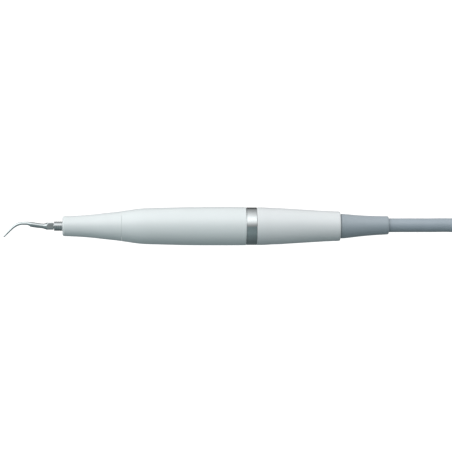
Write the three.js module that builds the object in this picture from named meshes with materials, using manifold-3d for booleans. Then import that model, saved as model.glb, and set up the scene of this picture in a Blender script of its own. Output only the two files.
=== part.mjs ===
// Dental ultrasonic scaler: a piezo transducer in a slim handpiece, with a screw-in curved tip, a
// screw-off nose cone and a plug-in cord whose spare length is folded and tied as a hank.
// Units are millimetres. +X runs from the tip to the cord, +Z is up, and the part lies on z = 0.

import * as THREE from "three";
import { mergeVertices } from "three/addons/utils/BufferGeometryUtils.js";
import Module from "manifold-3d";

const wasm = await Module();
wasm.setup();

// ---- Driving dimensions ------------------------------------------------------------------------

const BODY_R = 10; // the handpiece's largest radius, so its axis lies this high above the table
const CLEAR = 0.3; // gap between pieces that touch on the real object
const FINE = 24; // facets round the outer shells
const MEDIUM = 16; // facets round the pieces inside them
const SMALL = 10; // facets round pins, tubes and wires

// Stations along the axis, from the middle of the handpiece's length.
const TIP_POINT_X = -100.9;
const FLATS_FRONT_X = -78.4;
const HORN_FRONT_X = -74.5;
const NOSE_FRONT_X = -70.1;
const SEAM_X = -39.3;
const RING_FRONT_X = 25.55;
const RING_REAR_X = 30.8;
const SHELL_REAR_X = 74.95;
const BOOT_REAR_X = 100.3;

// Transducer stack, from the horn's rear face backwards.
const STACK_FRONT_X = -23.7;
const PIEZO_THICK = 2.4;
const PIEZO_R = 5;
const PIEZO_BORE_R = 2.9;
const PIEZO_COUNT = 4;
const ELECTRODE_THICK = 0.25;
const BOLT_R = 2;
const WATER_R = 0.6; // the water way through bolt, horn and nipples

// Push-fit interface between handpiece and cord connector.
const SPIGOT_FRONT_X = 15.6;
const SPIGOT_R = 6.5;
const SOCKET_FRONT_X = 8.5;
const SOCKET_REAR_X = 15;
const PIN_Y = 4.7;
const PIN_R = 0.45;

// Cord, the hank that its spare length is folded into, and the plug on its far end.
const CORD_R = 3.6;
const CORD_D = 2 * CORD_R;
const STRAP = 0.8; // thickness of the tie's strap, which the hank lies on
const HANK_BASE_Z = STRAP + CLEAR;
const HANK_LAYERS = 3;
const HANK_FOLD_X = 186; // centre of the near end fold
const HANK_STRAIGHT = 87; // length of the straight runs between the end folds
const FOLD_R = 3 * CORD_D; // centreline radius of the inner lane at the folds
const HANK_EDGE_Y = -5; // outer lane of the run that the cord enters
const HANK_MID_Y = HANK_EDGE_Y + FOLD_R + CORD_D;
const PLUG_R = 8;
const PLUG_Z = PLUG_R; // the plug lies on the table
const PLUG_Y = HANK_MID_Y + 7;
const PLUG_BOOT_X = 238.7; // rear end of the plug's boot; the plug points back to the handpiece

// ---- Shape helpers -----------------------------------------------------------------------------

// A solid of revolution about X from [x, r] points, taken forwards along the outside and back along
// the bore. A profile that starts off the axis is closed on itself.
function turned(profile, facets) {
  const points = profile.map(([x, r]) => new THREE.Vector2(r, x));
  if (profile[0][1] > 0) {
    points.push(points[0].clone());
  }
  return new THREE.LatheGeometry(points, facets).rotateZ(-Math.PI / 2);
}

function rod(x0, x1, r, facets = SMALL) {
  return turned([[x0, 0], [x0, r], [x1, r], [x1, 0]], facets);
}

function tube(x0, x1, boreR, r, facets = SMALL) {
  return turned([[x0, r], [x1, r], [x1, boreR], [x0, boreR]], facets);
}

function oRing(x, midR, sectionR) {
  const sides = 6;
  const profile = [];
  for (let side = 0; side < sides; side += 1) {
    const angle = Math.PI - (2 * Math.PI * side) / sides;
    profile.push([x + sectionR * Math.cos(angle), midR + sectionR * Math.sin(angle)]);
  }
  return turned(profile, MEDIUM);
}

// A round bar that follows a curve and changes thickness, from [x, z, r] stations in the XZ plane.
function bentBar(stations, sides, steps) {
  const path = new THREE.CatmullRomCurve3(stations.map(([x, z]) => new THREE.Vector3(x, 0, z)));
  const radii = new THREE.CatmullRomCurve3(stations.map(([, , r], i) => new THREE.Vector3(i, r, 0)));
  const geometry = new THREE.CylinderGeometry(1, 1, 1, sides, steps);
  const position = geometry.attributes.position;
  const across = new THREE.Vector3(0, 1, 0);
  for (let i = 0; i < position.count; i += 1) {
    const along = position.getY(i) + 0.5;
    const centre = path.getPoint(along);
    const up = new THREE.Vector3().crossVectors(across, path.getTangent(along));
    const r = radii.getPoint(along).y;
    centre.addScaledVector(across, r * position.getX(i));
    centre.addScaledVector(up, r * position.getZ(i));
    position.setXYZ(i, centre.x, centre.y, centre.z);
  }
  return geometry;
}

// A round cord or wire along a smooth curve through the points.
function cordAlong(points, r, sides, steps) {
  const section = new THREE.Shape();
  for (let side = 0; side < sides; side += 1) {
    const angle = (2 * Math.PI * side) / sides;
    const [u, v] = [r * Math.cos(angle), r * Math.sin(angle)];
    if (side === 0) {
      section.moveTo(u, v);
    } else {
      section.lineTo(u, v);
    }
  }
  section.closePath();
  const path = new THREE.CatmullRomCurve3(points.map((p) => new THREE.Vector3(...p)));
  return new THREE.ExtrudeGeometry(section, { steps, extrudePath: path });
}

// A plate across the axis, from x0 to x1, drawn as a shape seen from the front.
function plate(shape, x0, x1) {
  const options = { depth: x1 - x0, bevelEnabled: false, curveSegments: 10 };
  return new THREE.ExtrudeGeometry(shape, options).rotateY(Math.PI / 2).translate(x0, 0, 0);
}

function hole(shape, x, y, r) {
  shape.holes.push(new THREE.Path().absarc(x, y, r, 0, 2 * Math.PI, true));
}

function toSolid(geometry) {
  const bare = geometry.clone();
  bare.deleteAttribute("normal");
  bare.deleteAttribute("uv");
  const welded = mergeVertices(bare, 1e-4);
  const index = welded.index.array;
  const triVerts = [];
  for (let i = 0; i < index.length; i += 3) {
    const [a, b, c] = [index[i], index[i + 1], index[i + 2]];
    if (a !== b && b !== c && c !== a) {
      triVerts.push(a, b, c);
    }
  }
  const vertProperties = Float32Array.from(welded.attributes.position.array);
  return new wasm.Manifold(
    new wasm.Mesh({ numProp: 3, vertProperties, triVerts: Uint32Array.from(triVerts) }),
  );
}

function toGeometry(solid) {
  const { vertProperties, triVerts } = solid.getMesh();
  const geometry = new THREE.BufferGeometry();
  geometry.setAttribute("position", new THREE.BufferAttribute(vertProperties, 3));
  geometry.setIndex(new THREE.BufferAttribute(triVerts, 1));
  geometry.computeVertexNormals();
  return geometry;
}

function joined(geometries) {
  return toGeometry(geometries.map(toSolid).reduce((sum, part) => sum.add(part)));
}

function cut(geometry, tools) {
  return toGeometry(tools.map(toSolid).reduce((rest, tool) => rest.subtract(tool), toSolid(geometry)));
}

// ---- Materials and assembly --------------------------------------------------------------------

const FINISHES = {
  shell: { color: 0xe6ecec, roughness: 0.4, metalness: 0 },
  steel: { color: 0xb9bdc0, roughness: 0.2, metalness: 1 },
  titanium: { color: 0x8d9094, roughness: 0.35, metalness: 1 },
  brass: { color: 0xc9a24a, roughness: 0.35, metalness: 1 },
  ceramic: { color: 0xb8a888, roughness: 0.7, metalness: 0 },
  insulator: { color: 0xc7b58e, roughness: 0.55, metalness: 0 },
  blackPlastic: { color: 0x1d1f21, roughness: 0.5, metalness: 0 },
  seal: { color: 0x26282a, roughness: 0.8, metalness: 0 },
  silicone: { color: 0xd7dee0, roughness: 0.6, metalness: 0 },
  greyRubber: { color: 0x8f9ba6, roughness: 0.75, metalness: 0 },
  redWire: { color: 0xb03028, roughness: 0.5, metalness: 0 },
  blackWire: { color: 0x202020, roughness: 0.5, metalness: 0 },
  strap: { color: 0x3b4046, roughness: 0.95, metalness: 0 },
};

const scaler = new THREE.Group();
const onAxis = new THREE.Group();
onAxis.position.z = BODY_R;
const onPlugAxis = new THREE.Group();
onPlugAxis.position.set(PLUG_BOOT_X, PLUG_Y, PLUG_Z);
onPlugAxis.rotation.z = Math.PI;
scaler.add(onAxis, onPlugAxis);

function add(group, name, geometry, finish) {
  const mesh = new THREE.Mesh(geometry, new THREE.MeshStandardMaterial(FINISHES[finish]));
  mesh.name = name;
  group.add(mesh);
}

// ---- Scaler tip --------------------------------------------------------------------------------

const STEM_R = 1.2;
const FLAT_HALF = 1.83; // half the width across the four wrench flats
const FLAT_CORNER_R = 2.35; // the flats' corners are turned down to this radius
const FLATS_REAR_X = HORN_FRONT_X - CLEAR;

function scalerTip() {
  const workingEnd = bentBar(
    [
      [TIP_POINT_X + 0.25, -5.68, 0.34],
      [-99.1, -4.05, 0.44],
      [-97.2, -2.05, 0.52],
      [-95.1, -0.15, 0.58],
      [-93.2, 0.92, 0.68],
      [-91.1, 1.33, 0.76],
      [-88.4, 1.38, 0.84],
      [-85.4, 1.05, 0.9],
    ],
    SMALL,
    18,
  );
  const shank = bentBar(
    [
      [-88.4, 1.12, 1.2],
      [-86.2, 0.8, 1.25],
      [-83.9, 0.45, 1.23],
      [-81.3, 0.15, 1.18],
      [-79.8, 0.05, 1.4],
      [FLATS_FRONT_X + 0.1, 0, 1.95],
    ],
    SMALL,
    10,
  );
  const half = Math.sqrt(FLAT_CORNER_R ** 2 - FLAT_HALF ** 2);
  const square = new THREE.Shape([
    new THREE.Vector2(FLAT_HALF, -half),
    new THREE.Vector2(FLAT_HALF, half),
    new THREE.Vector2(half, FLAT_HALF),
    new THREE.Vector2(-half, FLAT_HALF),
    new THREE.Vector2(-FLAT_HALF, half),
    new THREE.Vector2(-FLAT_HALF, -half),
    new THREE.Vector2(-half, -FLAT_HALF),
    new THREE.Vector2(half, -FLAT_HALF),
  ]);
  const flats = plate(square, FLATS_FRONT_X, FLATS_REAR_X);
  const stem = rod(FLATS_REAR_X - 0.5, HORN_FRONT_X + 5, STEM_R);
  // The slanted step under the shank, where the water leaves.
  const step = new THREE.BoxGeometry(4, 6, 6).rotateY(-0.75).translate(-89.15, 0, -1.05);
  const shankWithStep = cut(shank, [step]);
  const waterWay = rod(-88.2, HORN_FRONT_X + 6, 0.35, 8).translate(0, 0, 0.12);
  return cut(joined([workingEnd, shankWithStep, flats, stem]), [waterWay]);
}

add(onAxis, "scaler_tip", scalerTip(), "steel");

// ---- Transducer --------------------------------------------------------------------------------

const HORN_R = 2.38;
const FLANGE_FRONT_X = -31;
const FLANGE_REAR_X = -29.4;
const HORN_REAR_X = STACK_FRONT_X - CLEAR;

function horn() {
  const grooves = [];
  const grooveDepth = 0.18;
  const grooveHalf = 0.16;
  for (let groove = 0; groove < 4; groove += 1) {
    const x = HORN_FRONT_X + 0.75 + 1.05 * groove;
    grooves.push([x - grooveHalf, HORN_R], [x, HORN_R - grooveDepth], [x + grooveHalf, HORN_R]);
  }
  const outside = [
    [HORN_FRONT_X, HORN_R - 0.15],
    [HORN_FRONT_X + 0.15, HORN_R],
    ...grooves,
    [-64.5, HORN_R],
    [-60, 2.5],
    [-56, 2.8],
    [-52, 3.3],
    [-48, 4],
    [FLANGE_FRONT_X, 4],
    [FLANGE_FRONT_X, 6.4],
    [FLANGE_REAR_X, 6.4],
    [FLANGE_REAR_X, 4.9],
    [HORN_REAR_X, 4.9],
  ];
  const boltBoreR = BOLT_R + 0.35;
  const tipBoreR = STEM_R + CLEAR;
  const bore = [
    [HORN_REAR_X, boltBoreR],
    [-32.2, boltBoreR],
    [-32.2, WATER_R],
    [HORN_FRONT_X + 6.2, WATER_R],
    [HORN_FRONT_X + 6.2, tipBoreR],
    [HORN_FRONT_X, tipBoreR],
  ];
  return turned([...outside, ...bore], MEDIUM);
}

// A contact washer with its solder tab up or down.
function electrode(x, up) {
  const tabR = 6;
  const tabHalf = 0.8;
  const opening = Math.asin(tabHalf / PIEZO_R);
  const washer = new THREE.Shape().absarc(0, 0, PIEZO_R, opening, 2 * Math.PI - opening, false);
  washer.lineTo(tabR, -tabHalf);
  washer.lineTo(tabR, tabHalf);
  washer.closePath();
  hole(washer, 0, 0, PIEZO_BORE_R);
  const geometry = plate(washer, 0, ELECTRODE_THICK);
  return geometry.rotateX(up ? Math.PI : 0).translate(x, 0, 0);
}

const STACK_STEP = PIEZO_THICK + ELECTRODE_THICK + 2 * CLEAR;
const STACK_REAR_X = STACK_FRONT_X + PIEZO_COUNT * STACK_STEP - CLEAR;
const MASS_FRONT_X = STACK_REAR_X + CLEAR;
const MASS_REAR_X = -2;
const HEAD_FRONT_X = MASS_REAR_X + CLEAR;
const HEAD_REAR_X = HEAD_FRONT_X + 3;
const BOLT_NIPPLE_X = HEAD_REAR_X + 3;
const NIPPLE_R = 1.15;

function centreBolt() {
  const shank = rod(-31.6, HEAD_REAR_X - 1, BOLT_R, SMALL);
  const nipple = rod(HEAD_REAR_X - 1, BOLT_NIPPLE_X, NIPPLE_R - 0.05, SMALL);
  const head = new THREE.CylinderGeometry(3.8, 3.8, HEAD_REAR_X - HEAD_FRONT_X, 6)
    .rotateZ(-Math.PI / 2)
    .translate((HEAD_FRONT_X + HEAD_REAR_X) / 2, 0, 0);
  return cut(joined([shank, head, nipple]), [rod(-33, BOLT_NIPPLE_X + 1, WATER_R, 8)]);
}

add(onAxis, "horn", horn(), "titanium");
for (let i = 0; i < PIEZO_COUNT; i += 1) {
  const ringX = STACK_FRONT_X + i * STACK_STEP;
  const electrodeX = ringX + PIEZO_THICK + CLEAR;
  const ring = tube(ringX, ringX + PIEZO_THICK, PIEZO_BORE_R, PIEZO_R, MEDIUM);
  add(onAxis, `piezo_ring_${i + 1}`, ring, "ceramic");
  add(onAxis, `electrode_${i + 1}`, electrode(electrodeX, i % 2 === 0), "brass");
}
add(onAxis, "bolt_insulator", tube(STACK_FRONT_X, STACK_REAR_X, 2.3, 2.6), "insulator");
add(onAxis, "rear_mass", tube(MASS_FRONT_X, MASS_REAR_X, BOLT_R + 0.4, PIEZO_R, MEDIUM), "steel");
add(onAxis, "centre_bolt", centreBolt(), "steel");

// ---- Nose cone and its seal --------------------------------------------------------------------

const SPIGOT_NOSE_R = 5.4; // the nose cone's threaded spigot, modelled plain
const NOSE_BORE_R = 2.75;
const NOSE_SHOULDER_X = SEAM_X - CLEAR;
const BUSH_FRONT_X = -37.6;
const BUSH_REAR_X = -32.8;

const noseCone = turned(
  [
    [NOSE_FRONT_X, 4.35],
    [NOSE_FRONT_X + 0.35, 4.95],
    [NOSE_FRONT_X + 1.2, 5.2],
    [-60.8, 5.56],
    [-54.5, 6.06],
    [-48.3, 6.76],
    [-42, 7.44],
    [NOSE_SHOULDER_X, 7.76],
    [NOSE_SHOULDER_X, SPIGOT_NOSE_R],
    [-33.2, SPIGOT_NOSE_R],
    [-33.2, 4.5],
    [-51, 4.5],
    [-66, NOSE_BORE_R],
    [NOSE_FRONT_X, NOSE_BORE_R],
  ],
  FINE,
);
add(onAxis, "nose_cone", noseCone, "shell");
add(onAxis, "nose_o_ring", oRing(-38.45, 6.2, 0.45), "seal");

// ---- Handpiece body ----------------------------------------------------------------------------

const BODY_BORE_R = 7.9;
const RING_SLEEVE_R = BODY_BORE_R - CLEAR;
const RING_BORE_R = 7.1;
const RING_R = 9.82; // a little under the body's radius, so the ring sits in a shallow step

const bodyShell = turned(
  [
    [SEAM_X, 7.8],
    [-35.8, 8.32],
    [-29.5, 9.21],
    [-26.4, 9.39],
    [-13.9, 9.68],
    [-4.5, 9.91],
    [17.5, BODY_R],
    [RING_FRONT_X, 9.9],
    [RING_FRONT_X, BODY_BORE_R],
    [-30.6, BODY_BORE_R],
    [-32.4, 6.9],
    [SEAM_X, 7],
  ],
  FINE,
);
const rearRing = turned(
  [
    [SOCKET_REAR_X + CLEAR, RING_SLEEVE_R],
    [RING_FRONT_X + CLEAR, RING_SLEEVE_R],
    [RING_FRONT_X + CLEAR, RING_R],
    [RING_REAR_X, RING_R],
    [RING_REAR_X, RING_BORE_R],
    [SOCKET_REAR_X + CLEAR, RING_BORE_R],
  ],
  FINE,
);
const CARRIER_FRONT_X = -27.6;
const CARRIER_REAR_X = SOCKET_FRONT_X - CLEAR;
const carrierSleeve = turned(
  [
    [CARRIER_FRONT_X, RING_SLEEVE_R],
    [CARRIER_REAR_X, RING_SLEEVE_R],
    [CARRIER_REAR_X, 6.6],
    [-26.2, 6.6],
    [-26.2, 5.4],
    [CARRIER_FRONT_X, 5.4],
  ],
  MEDIUM,
);

function socketBlock() {
  const disc = new THREE.Shape().absarc(0, 0, RING_SLEEVE_R - 0.1, 0, 2 * Math.PI, false);
  hole(disc, 0, 0, 3.05);
  hole(disc, 0, PIN_Y, 1.4);
  hole(disc, 0, -PIN_Y, 1.4);
  return plate(disc, SOCKET_FRONT_X, SOCKET_REAR_X);
}

function socketContact(side) {
  const tailX = 6.5;
  const contact = [
    [tailX, 0],
    [tailX, 0.4],
    [8, 0.4],
    [8, 1.05],
    [SOCKET_REAR_X, 1.05],
    [SOCKET_REAR_X, PIN_R + CLEAR],
    [9.4, PIN_R + CLEAR],
    [9.4, 0],
  ];
  return turned(contact, SMALL).translate(0, side * PIN_Y, 0);
}

const waterSocket = turned(
  [
    [6, NIPPLE_R - 0.05],
    [8.9, NIPPLE_R - 0.05],
    [8.9, 2.75],
    [SOCKET_REAR_X, 2.75],
    [SOCKET_REAR_X, 2.35],
    [9.4, 2.35],
    [9.4, WATER_R],
    [6, WATER_R],
  ],
  SMALL,
);

// A lead from an electrode's tab, back over the rear mass and down to its socket contact.
function transducerLead(startX, side) {
  const r = 5.75;
  const points = [
    [startX, 0, side * r],
    [-8, 0, side * r],
    [-1, -side * 0.9, side * 5.65],
    [2.6, -side * 3.3, side * 4.5],
    [4.9, -side * 4.7, side * 2.2],
    [5.7, -side * PIN_Y, 0],
  ];
  return cordAlong(points, 0.35, 8, 12);
}

const flangeSealR = 5.6;
add(onAxis, "body_shell", bodyShell, "shell");
add(onAxis, "rear_ring", rearRing, "steel");
add(onAxis, "nose_bush", tube(BUSH_FRONT_X, BUSH_REAR_X, 5.75, 6.6, MEDIUM), "brass");
add(onAxis, "carrier_sleeve", carrierSleeve, "insulator");
add(onAxis, "flange_o_ring_1", oRing((BUSH_REAR_X + FLANGE_FRONT_X) / 2, flangeSealR, 0.5), "seal");
add(onAxis, "flange_o_ring_2", oRing((FLANGE_REAR_X + CARRIER_FRONT_X) / 2, flangeSealR, 0.5), "seal");
add(onAxis, "socket_block", socketBlock(), "blackPlastic");
add(onAxis, "socket_contact_1", socketContact(-1), "brass");
add(onAxis, "socket_contact_2", socketContact(1), "brass");
add(onAxis, "water_socket", waterSocket, "steel");
add(onAxis, "water_hose", tube(HEAD_REAR_X + 0.4, 8.5, NIPPLE_R + 0.25, 2.1), "silicone");
add(onAxis, "lead_live", transducerLead(-13.8, 1), "redWire");
add(onAxis, "lead_ground", transducerLead(-10.55, -1), "blackWire");

// ---- Cord connector ----------------------------------------------------------------------------

const CORE_REAR_X = 46;
const SEAL_GROOVES_X = [20, 24.5];
const JACKET_END_X = 58;

const connectorShell = turned(
  [
    [RING_REAR_X + CLEAR, 9.85],
    [34.2, 9.83],
    [38.1, 9.6],
    [43.4, 9.4],
    [48.6, 9.08],
    [59, 8.42],
    [69.5, 7.86],
    [SHELL_REAR_X - 1, 7.72],
    [SHELL_REAR_X - 0.3, 7.4],
    [SHELL_REAR_X, 6.8],
    [SHELL_REAR_X, 6],
    [73.5, 6],
    [73.5, 6.8],
    [50, 6.8],
    [47.5, 7.8],
    [RING_REAR_X + CLEAR, 7.8],
  ],
  FINE,
);

function connectorCore() {
  const grooveHalf = 0.95;
  const grooveR = 5.6;
  const grooves = SEAL_GROOVES_X.flatMap((x) => [
    [x - grooveHalf, SPIGOT_R],
    [x - grooveHalf, grooveR],
    [x + grooveHalf, grooveR],
    [x + grooveHalf, SPIGOT_R],
  ]);
  const core = turned(
    [
      [SPIGOT_FRONT_X, 0],
      [SPIGOT_FRONT_X, SPIGOT_R - 0.6],
      [SPIGOT_FRONT_X + 0.6, SPIGOT_R],
      ...grooves,
      [RING_REAR_X + 0.5, SPIGOT_R],
      [RING_REAR_X + 0.5, 7.45],
      [CORE_REAR_X, 7.45],
      [CORE_REAR_X, 0],
    ],
    MEDIUM,
  );
  const front = SPIGOT_FRONT_X - 1;
  const rear = CORE_REAR_X + 1;
  const pinHole = rod(front, rear, PIN_R + CLEAR, SMALL);
  return cut(core, [
    rod(front, rear, NIPPLE_R + CLEAR, SMALL),
    pinHole.clone().translate(0, PIN_Y, 0),
    pinHole.clone().translate(0, -PIN_Y, 0),
  ]);
}

// The cord leaves a little above the handpiece's axis, so the boot bends up along its length.
const CORD_RISE = 0.5;
const RISE_START_X = 74;
const RISE_END_X = 106;

function rise(x) {
  return CORD_RISE * THREE.MathUtils.smoothstep(x, RISE_START_X, RISE_END_X);
}

function bendUp(geometry) {
  const position = geometry.attributes.position;
  for (let i = 0; i < position.count; i += 1) {
    position.setZ(i, position.getZ(i) + rise(position.getX(i)));
  }
}

const BOOT_FRONT_X = SHELL_REAR_X + CLEAR;
const cordBoot = turned(
  [
    [70.6, 6.4],
    [73.2, 6.4],
    [73.2, 5.6],
    [BOOT_FRONT_X, 5.6],
    [BOOT_FRONT_X, 6.35],
    [76.3, 6.4],
    [79.9, 6.06],
    [85.2, 5.56],
    [90.4, 5.2],
    [95.6, 4.98],
    [BOOT_REAR_X - 0.8, 4.8],
    [BOOT_REAR_X, 4.2],
    [BOOT_REAR_X, CORD_R + CLEAR],
    [70.6, CORD_R + CLEAR],
  ],
  FINE,
);
bendUp(cordBoot);

add(onAxis, "connector_shell", connectorShell, "shell");
add(onAxis, "connector_core", connectorCore(), "blackPlastic");
SEAL_GROOVES_X.forEach((x, i) => {
  add(onAxis, `spigot_o_ring_${i + 1}`, oRing(x, 6.35, 0.45), "seal");
});
[-1, 1].forEach((side, i) => {
  const pin = rod(9.8, 48, PIN_R, SMALL).translate(0, side * PIN_Y, 0);
  add(onAxis, `contact_pin_${i + 1}`, pin, "brass");
  const wire = cordAlong(
    [
      [48.4, side * PIN_Y, 0],
      [52.5, side * 4.4, 0],
      [JACKET_END_X - 0.4, side * 3, 0],
    ],
    0.5,
    8,
    5,
  );
  add(onAxis, `inner_wire_${i + 1}`, wire, side < 0 ? "redWire" : "blackWire");
});
add(onAxis, "water_nipple", tube(10.6, 50, WATER_R, NIPPLE_R), "steel");
add(onAxis, "nipple_o_ring", oRing(12.8, 1.75, 0.28), "seal");
add(onAxis, "inner_water_tube", tube(46.4, JACKET_END_X - 0.4, NIPPLE_R + CLEAR, 2.1), "silicone");
add(onAxis, "cord_clamp", tube(61, 67, CORD_R + CLEAR, 4.7, MEDIUM), "steel");
add(onAxis, "cord_boot", cordBoot, "greyRubber");

// ---- Cord, hank and ties -----------------------------------------------------------------------

const CORD_START_X = 71.2;
add(onAxis, "cord_jacket_end", rod(JACKET_END_X, CORD_START_X - CLEAR, CORD_R, MEDIUM), "greyRubber");

// From inside the boot, straight out, then down and aside to the hank's outer lane.
const LEAD_ROUTE = [
  ...[CORD_START_X, 78, 84, 90, 96, 102, 108, 122, 134].map((x) => [x, 0, BODY_R + rise(x)]),
  [143, -0.75, 9.55],
  [151, -2.5, 7.5],
  [158, -4.1, 5.67],
  [165.2, -4.96, 4.74],
];
// From the start of the hank's far run back through its loop into the plug's boot.
const TAIL_ROUTE = [
  [254, 35.8, 6.6],
  [247, 32.15, 7.5],
  [PLUG_BOOT_X, PLUG_Y, PLUG_Z],
  [227, PLUG_Y, PLUG_Z],
];

// The outline of the folded bundle: straight runs with round ends.
function stadium(Outline, halfWidth) {
  const outline = new Outline();
  const farX = HANK_FOLD_X + HANK_STRAIGHT;
  outline.absarc(farX, HANK_MID_Y, halfWidth, -Math.PI / 2, Math.PI / 2, false);
  outline.absarc(HANK_FOLD_X, HANK_MID_Y, halfWidth, Math.PI / 2, 1.5 * Math.PI, false);
  outline.closePath();
  return outline;
}

function hank() {
  const outline = stadium(THREE.Shape, FOLD_R + CORD_D + CORD_R);
  outline.holes.push(stadium(THREE.Path, FOLD_R - CORD_R));
  const options = { depth: HANK_LAYERS * CORD_D, bevelEnabled: false, curveSegments: 10 };
  return new THREE.ExtrudeGeometry(outline, options).translate(0, 0, HANK_BASE_Z);
}

// A strap round one run of the hank, with rounded corners.
function tie(side) {
  const width = 10;
  const halfY = CORD_D + CLEAR;
  const height = HANK_LAYERS * CORD_D + 2 * CLEAR;
  const midY = side * (FOLD_R + CORD_R);
  const loop = (Outline, grow) => {
    const [y0, y1] = [-halfY - grow, halfY + grow];
    const [z0, z1] = [STRAP - grow, STRAP + height + grow];
    const r = 0.5 + grow;
    const outline = new Outline();
    outline.absarc(y1 - r, z0 + r, r, -Math.PI / 2, 0, false);
    outline.absarc(y1 - r, z1 - r, r, 0, Math.PI / 2, false);
    outline.absarc(y0 + r, z1 - r, r, Math.PI / 2, Math.PI, false);
    outline.absarc(y0 + r, z0 + r, r, Math.PI, 1.5 * Math.PI, false);
    outline.closePath();
    return outline;
  };
  const strap = loop(THREE.Shape, STRAP);
  strap.holes.push(loop(THREE.Path, 0));
  const options = { depth: width, bevelEnabled: false, curveSegments: 4 };
  return new THREE.ExtrudeGeometry(strap, options)
    .rotateX(Math.PI / 2)
    .rotateZ(Math.PI / 2)
    .translate(HANK_FOLD_X + HANK_STRAIGHT / 2 - width / 2, HANK_MID_Y + midY, 0);
}

add(scaler, "cord_lead", cordAlong(LEAD_ROUTE, CORD_R, 10, 14), "greyRubber");
add(scaler, "cord_hank", hank(), "greyRubber");
add(scaler, "cord_tail", cordAlong(TAIL_ROUTE, CORD_R, 10, 5), "greyRubber");
add(scaler, "hank_tie_1", tie(-1), "strap");
add(scaler, "hank_tie_2", tie(1), "strap");

// ---- Plug on the cord's far end ----------------------------------------------------------------

// Drawn from the boot's rear end at x = 0 towards the plug's face.
const PLUG_FACE_X = 42.2;
const PLUG_SHELL_X = 14.4;
const PLUG_STEP_X = 34.2;
const NUT_FRONT_X = 34.6;
const NUT_REAR_X = 48.5;
const PLUG_PIN_Y = 2.8;
const PLUG_PIN_R = 0.6;
const PLUG_PIN_X = 20.7;

const plugBoot = turned(
  [
    [0, 4.3],
    [0.7, 4.6],
    [13.2, 5.9],
    [14.1, 5.9],
    [14.1, 5],
    [16.6, 5],
    [16.6, 5.6],
    [18.7, 5.6],
    [18.7, CORD_R + CLEAR],
    [0, CORD_R + CLEAR],
  ],
  MEDIUM,
);
const plugShell = turned(
  [
    [PLUG_SHELL_X, 6.6],
    [PLUG_SHELL_X + 0.9, 7.5],
    [PLUG_SHELL_X + 2.5, PLUG_R],
    [PLUG_STEP_X, PLUG_R],
    [PLUG_STEP_X, 6.3],
    [40.7, 6.3],
    [40.7, 5.3],
    [22.7, 5.3],
    [22.7, 5.95],
    [16.3, 5.95],
    [16.3, 5.35],
    [PLUG_SHELL_X, 5.35],
  ],
  FINE,
);
const couplingNut = turned(
  [
    [NUT_FRONT_X, 7.2],
    [NUT_FRONT_X + 0.7, 7.7],
    [NUT_REAR_X - 0.8, 7.7],
    [NUT_REAR_X, 7.2],
    [NUT_REAR_X, 6.6],
    [NUT_FRONT_X, 6.6],
  ],
  FINE,
);

function plugInsert() {
  const disc = new THREE.Shape().absarc(0, 0, 5, 0, 2 * Math.PI, false);
  hole(disc, 0, 0, NIPPLE_R + CLEAR);
  hole(disc, 0, PLUG_PIN_Y, PLUG_PIN_R + CLEAR);
  hole(disc, 0, -PLUG_PIN_Y, PLUG_PIN_R + CLEAR);
  return plate(disc, 23.7, PLUG_FACE_X);
}

add(onPlugAxis, "plug_boot", plugBoot, "greyRubber");
add(onPlugAxis, "plug_shell", plugShell, "shell");
add(onPlugAxis, "plug_insert", plugInsert(), "blackPlastic");
[-1, 1].forEach((side, i) => {
  const pin = rod(PLUG_PIN_X, 46.7, PLUG_PIN_R, SMALL).translate(0, side * PLUG_PIN_Y, 0);
  add(onPlugAxis, `plug_pin_${i + 1}`, pin, "brass");
});
add(onPlugAxis, "plug_nipple", tube(PLUG_PIN_X, 47.9, WATER_R, NIPPLE_R), "steel");
add(onPlugAxis, "coupling_nut", couplingNut, "steel");

export default scaler;
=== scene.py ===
"""Looks of a dental ultrasonic scaler: tip, handpiece, cord connector, tied cord and its plug.

Sizes in the classes are millimetres, and every mesh is in metres. Each piece is drawn in the
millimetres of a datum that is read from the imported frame, so it lies where the frame says.
"""

from __future__ import annotations

import logging
import math
from dataclasses import dataclass, field
from enum import Enum
from typing import Iterable, Sequence

import bmesh
import bpy
import numpy as np
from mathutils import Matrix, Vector

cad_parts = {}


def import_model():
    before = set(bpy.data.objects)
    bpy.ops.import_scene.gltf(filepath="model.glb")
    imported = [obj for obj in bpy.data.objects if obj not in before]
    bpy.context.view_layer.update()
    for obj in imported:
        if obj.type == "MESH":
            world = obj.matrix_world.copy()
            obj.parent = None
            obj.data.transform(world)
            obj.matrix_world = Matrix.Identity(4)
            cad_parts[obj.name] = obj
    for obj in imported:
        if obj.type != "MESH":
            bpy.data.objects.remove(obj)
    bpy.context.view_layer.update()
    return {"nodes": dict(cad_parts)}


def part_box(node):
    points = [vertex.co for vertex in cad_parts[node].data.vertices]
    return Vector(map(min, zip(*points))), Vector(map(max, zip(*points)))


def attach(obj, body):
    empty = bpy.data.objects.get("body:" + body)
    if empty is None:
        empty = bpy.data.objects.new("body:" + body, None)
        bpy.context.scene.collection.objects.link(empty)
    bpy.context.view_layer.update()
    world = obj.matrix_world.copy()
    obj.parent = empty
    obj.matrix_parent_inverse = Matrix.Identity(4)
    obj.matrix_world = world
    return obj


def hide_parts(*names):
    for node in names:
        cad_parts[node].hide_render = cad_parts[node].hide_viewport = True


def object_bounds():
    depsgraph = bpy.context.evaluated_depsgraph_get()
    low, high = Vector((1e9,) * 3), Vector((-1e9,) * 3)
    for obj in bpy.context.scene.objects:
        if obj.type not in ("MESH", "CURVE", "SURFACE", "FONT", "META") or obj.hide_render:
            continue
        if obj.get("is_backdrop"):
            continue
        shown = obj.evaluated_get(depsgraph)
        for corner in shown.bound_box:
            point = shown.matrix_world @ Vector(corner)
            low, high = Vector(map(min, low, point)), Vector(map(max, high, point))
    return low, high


log = logging.getLogger("scaler")

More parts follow.
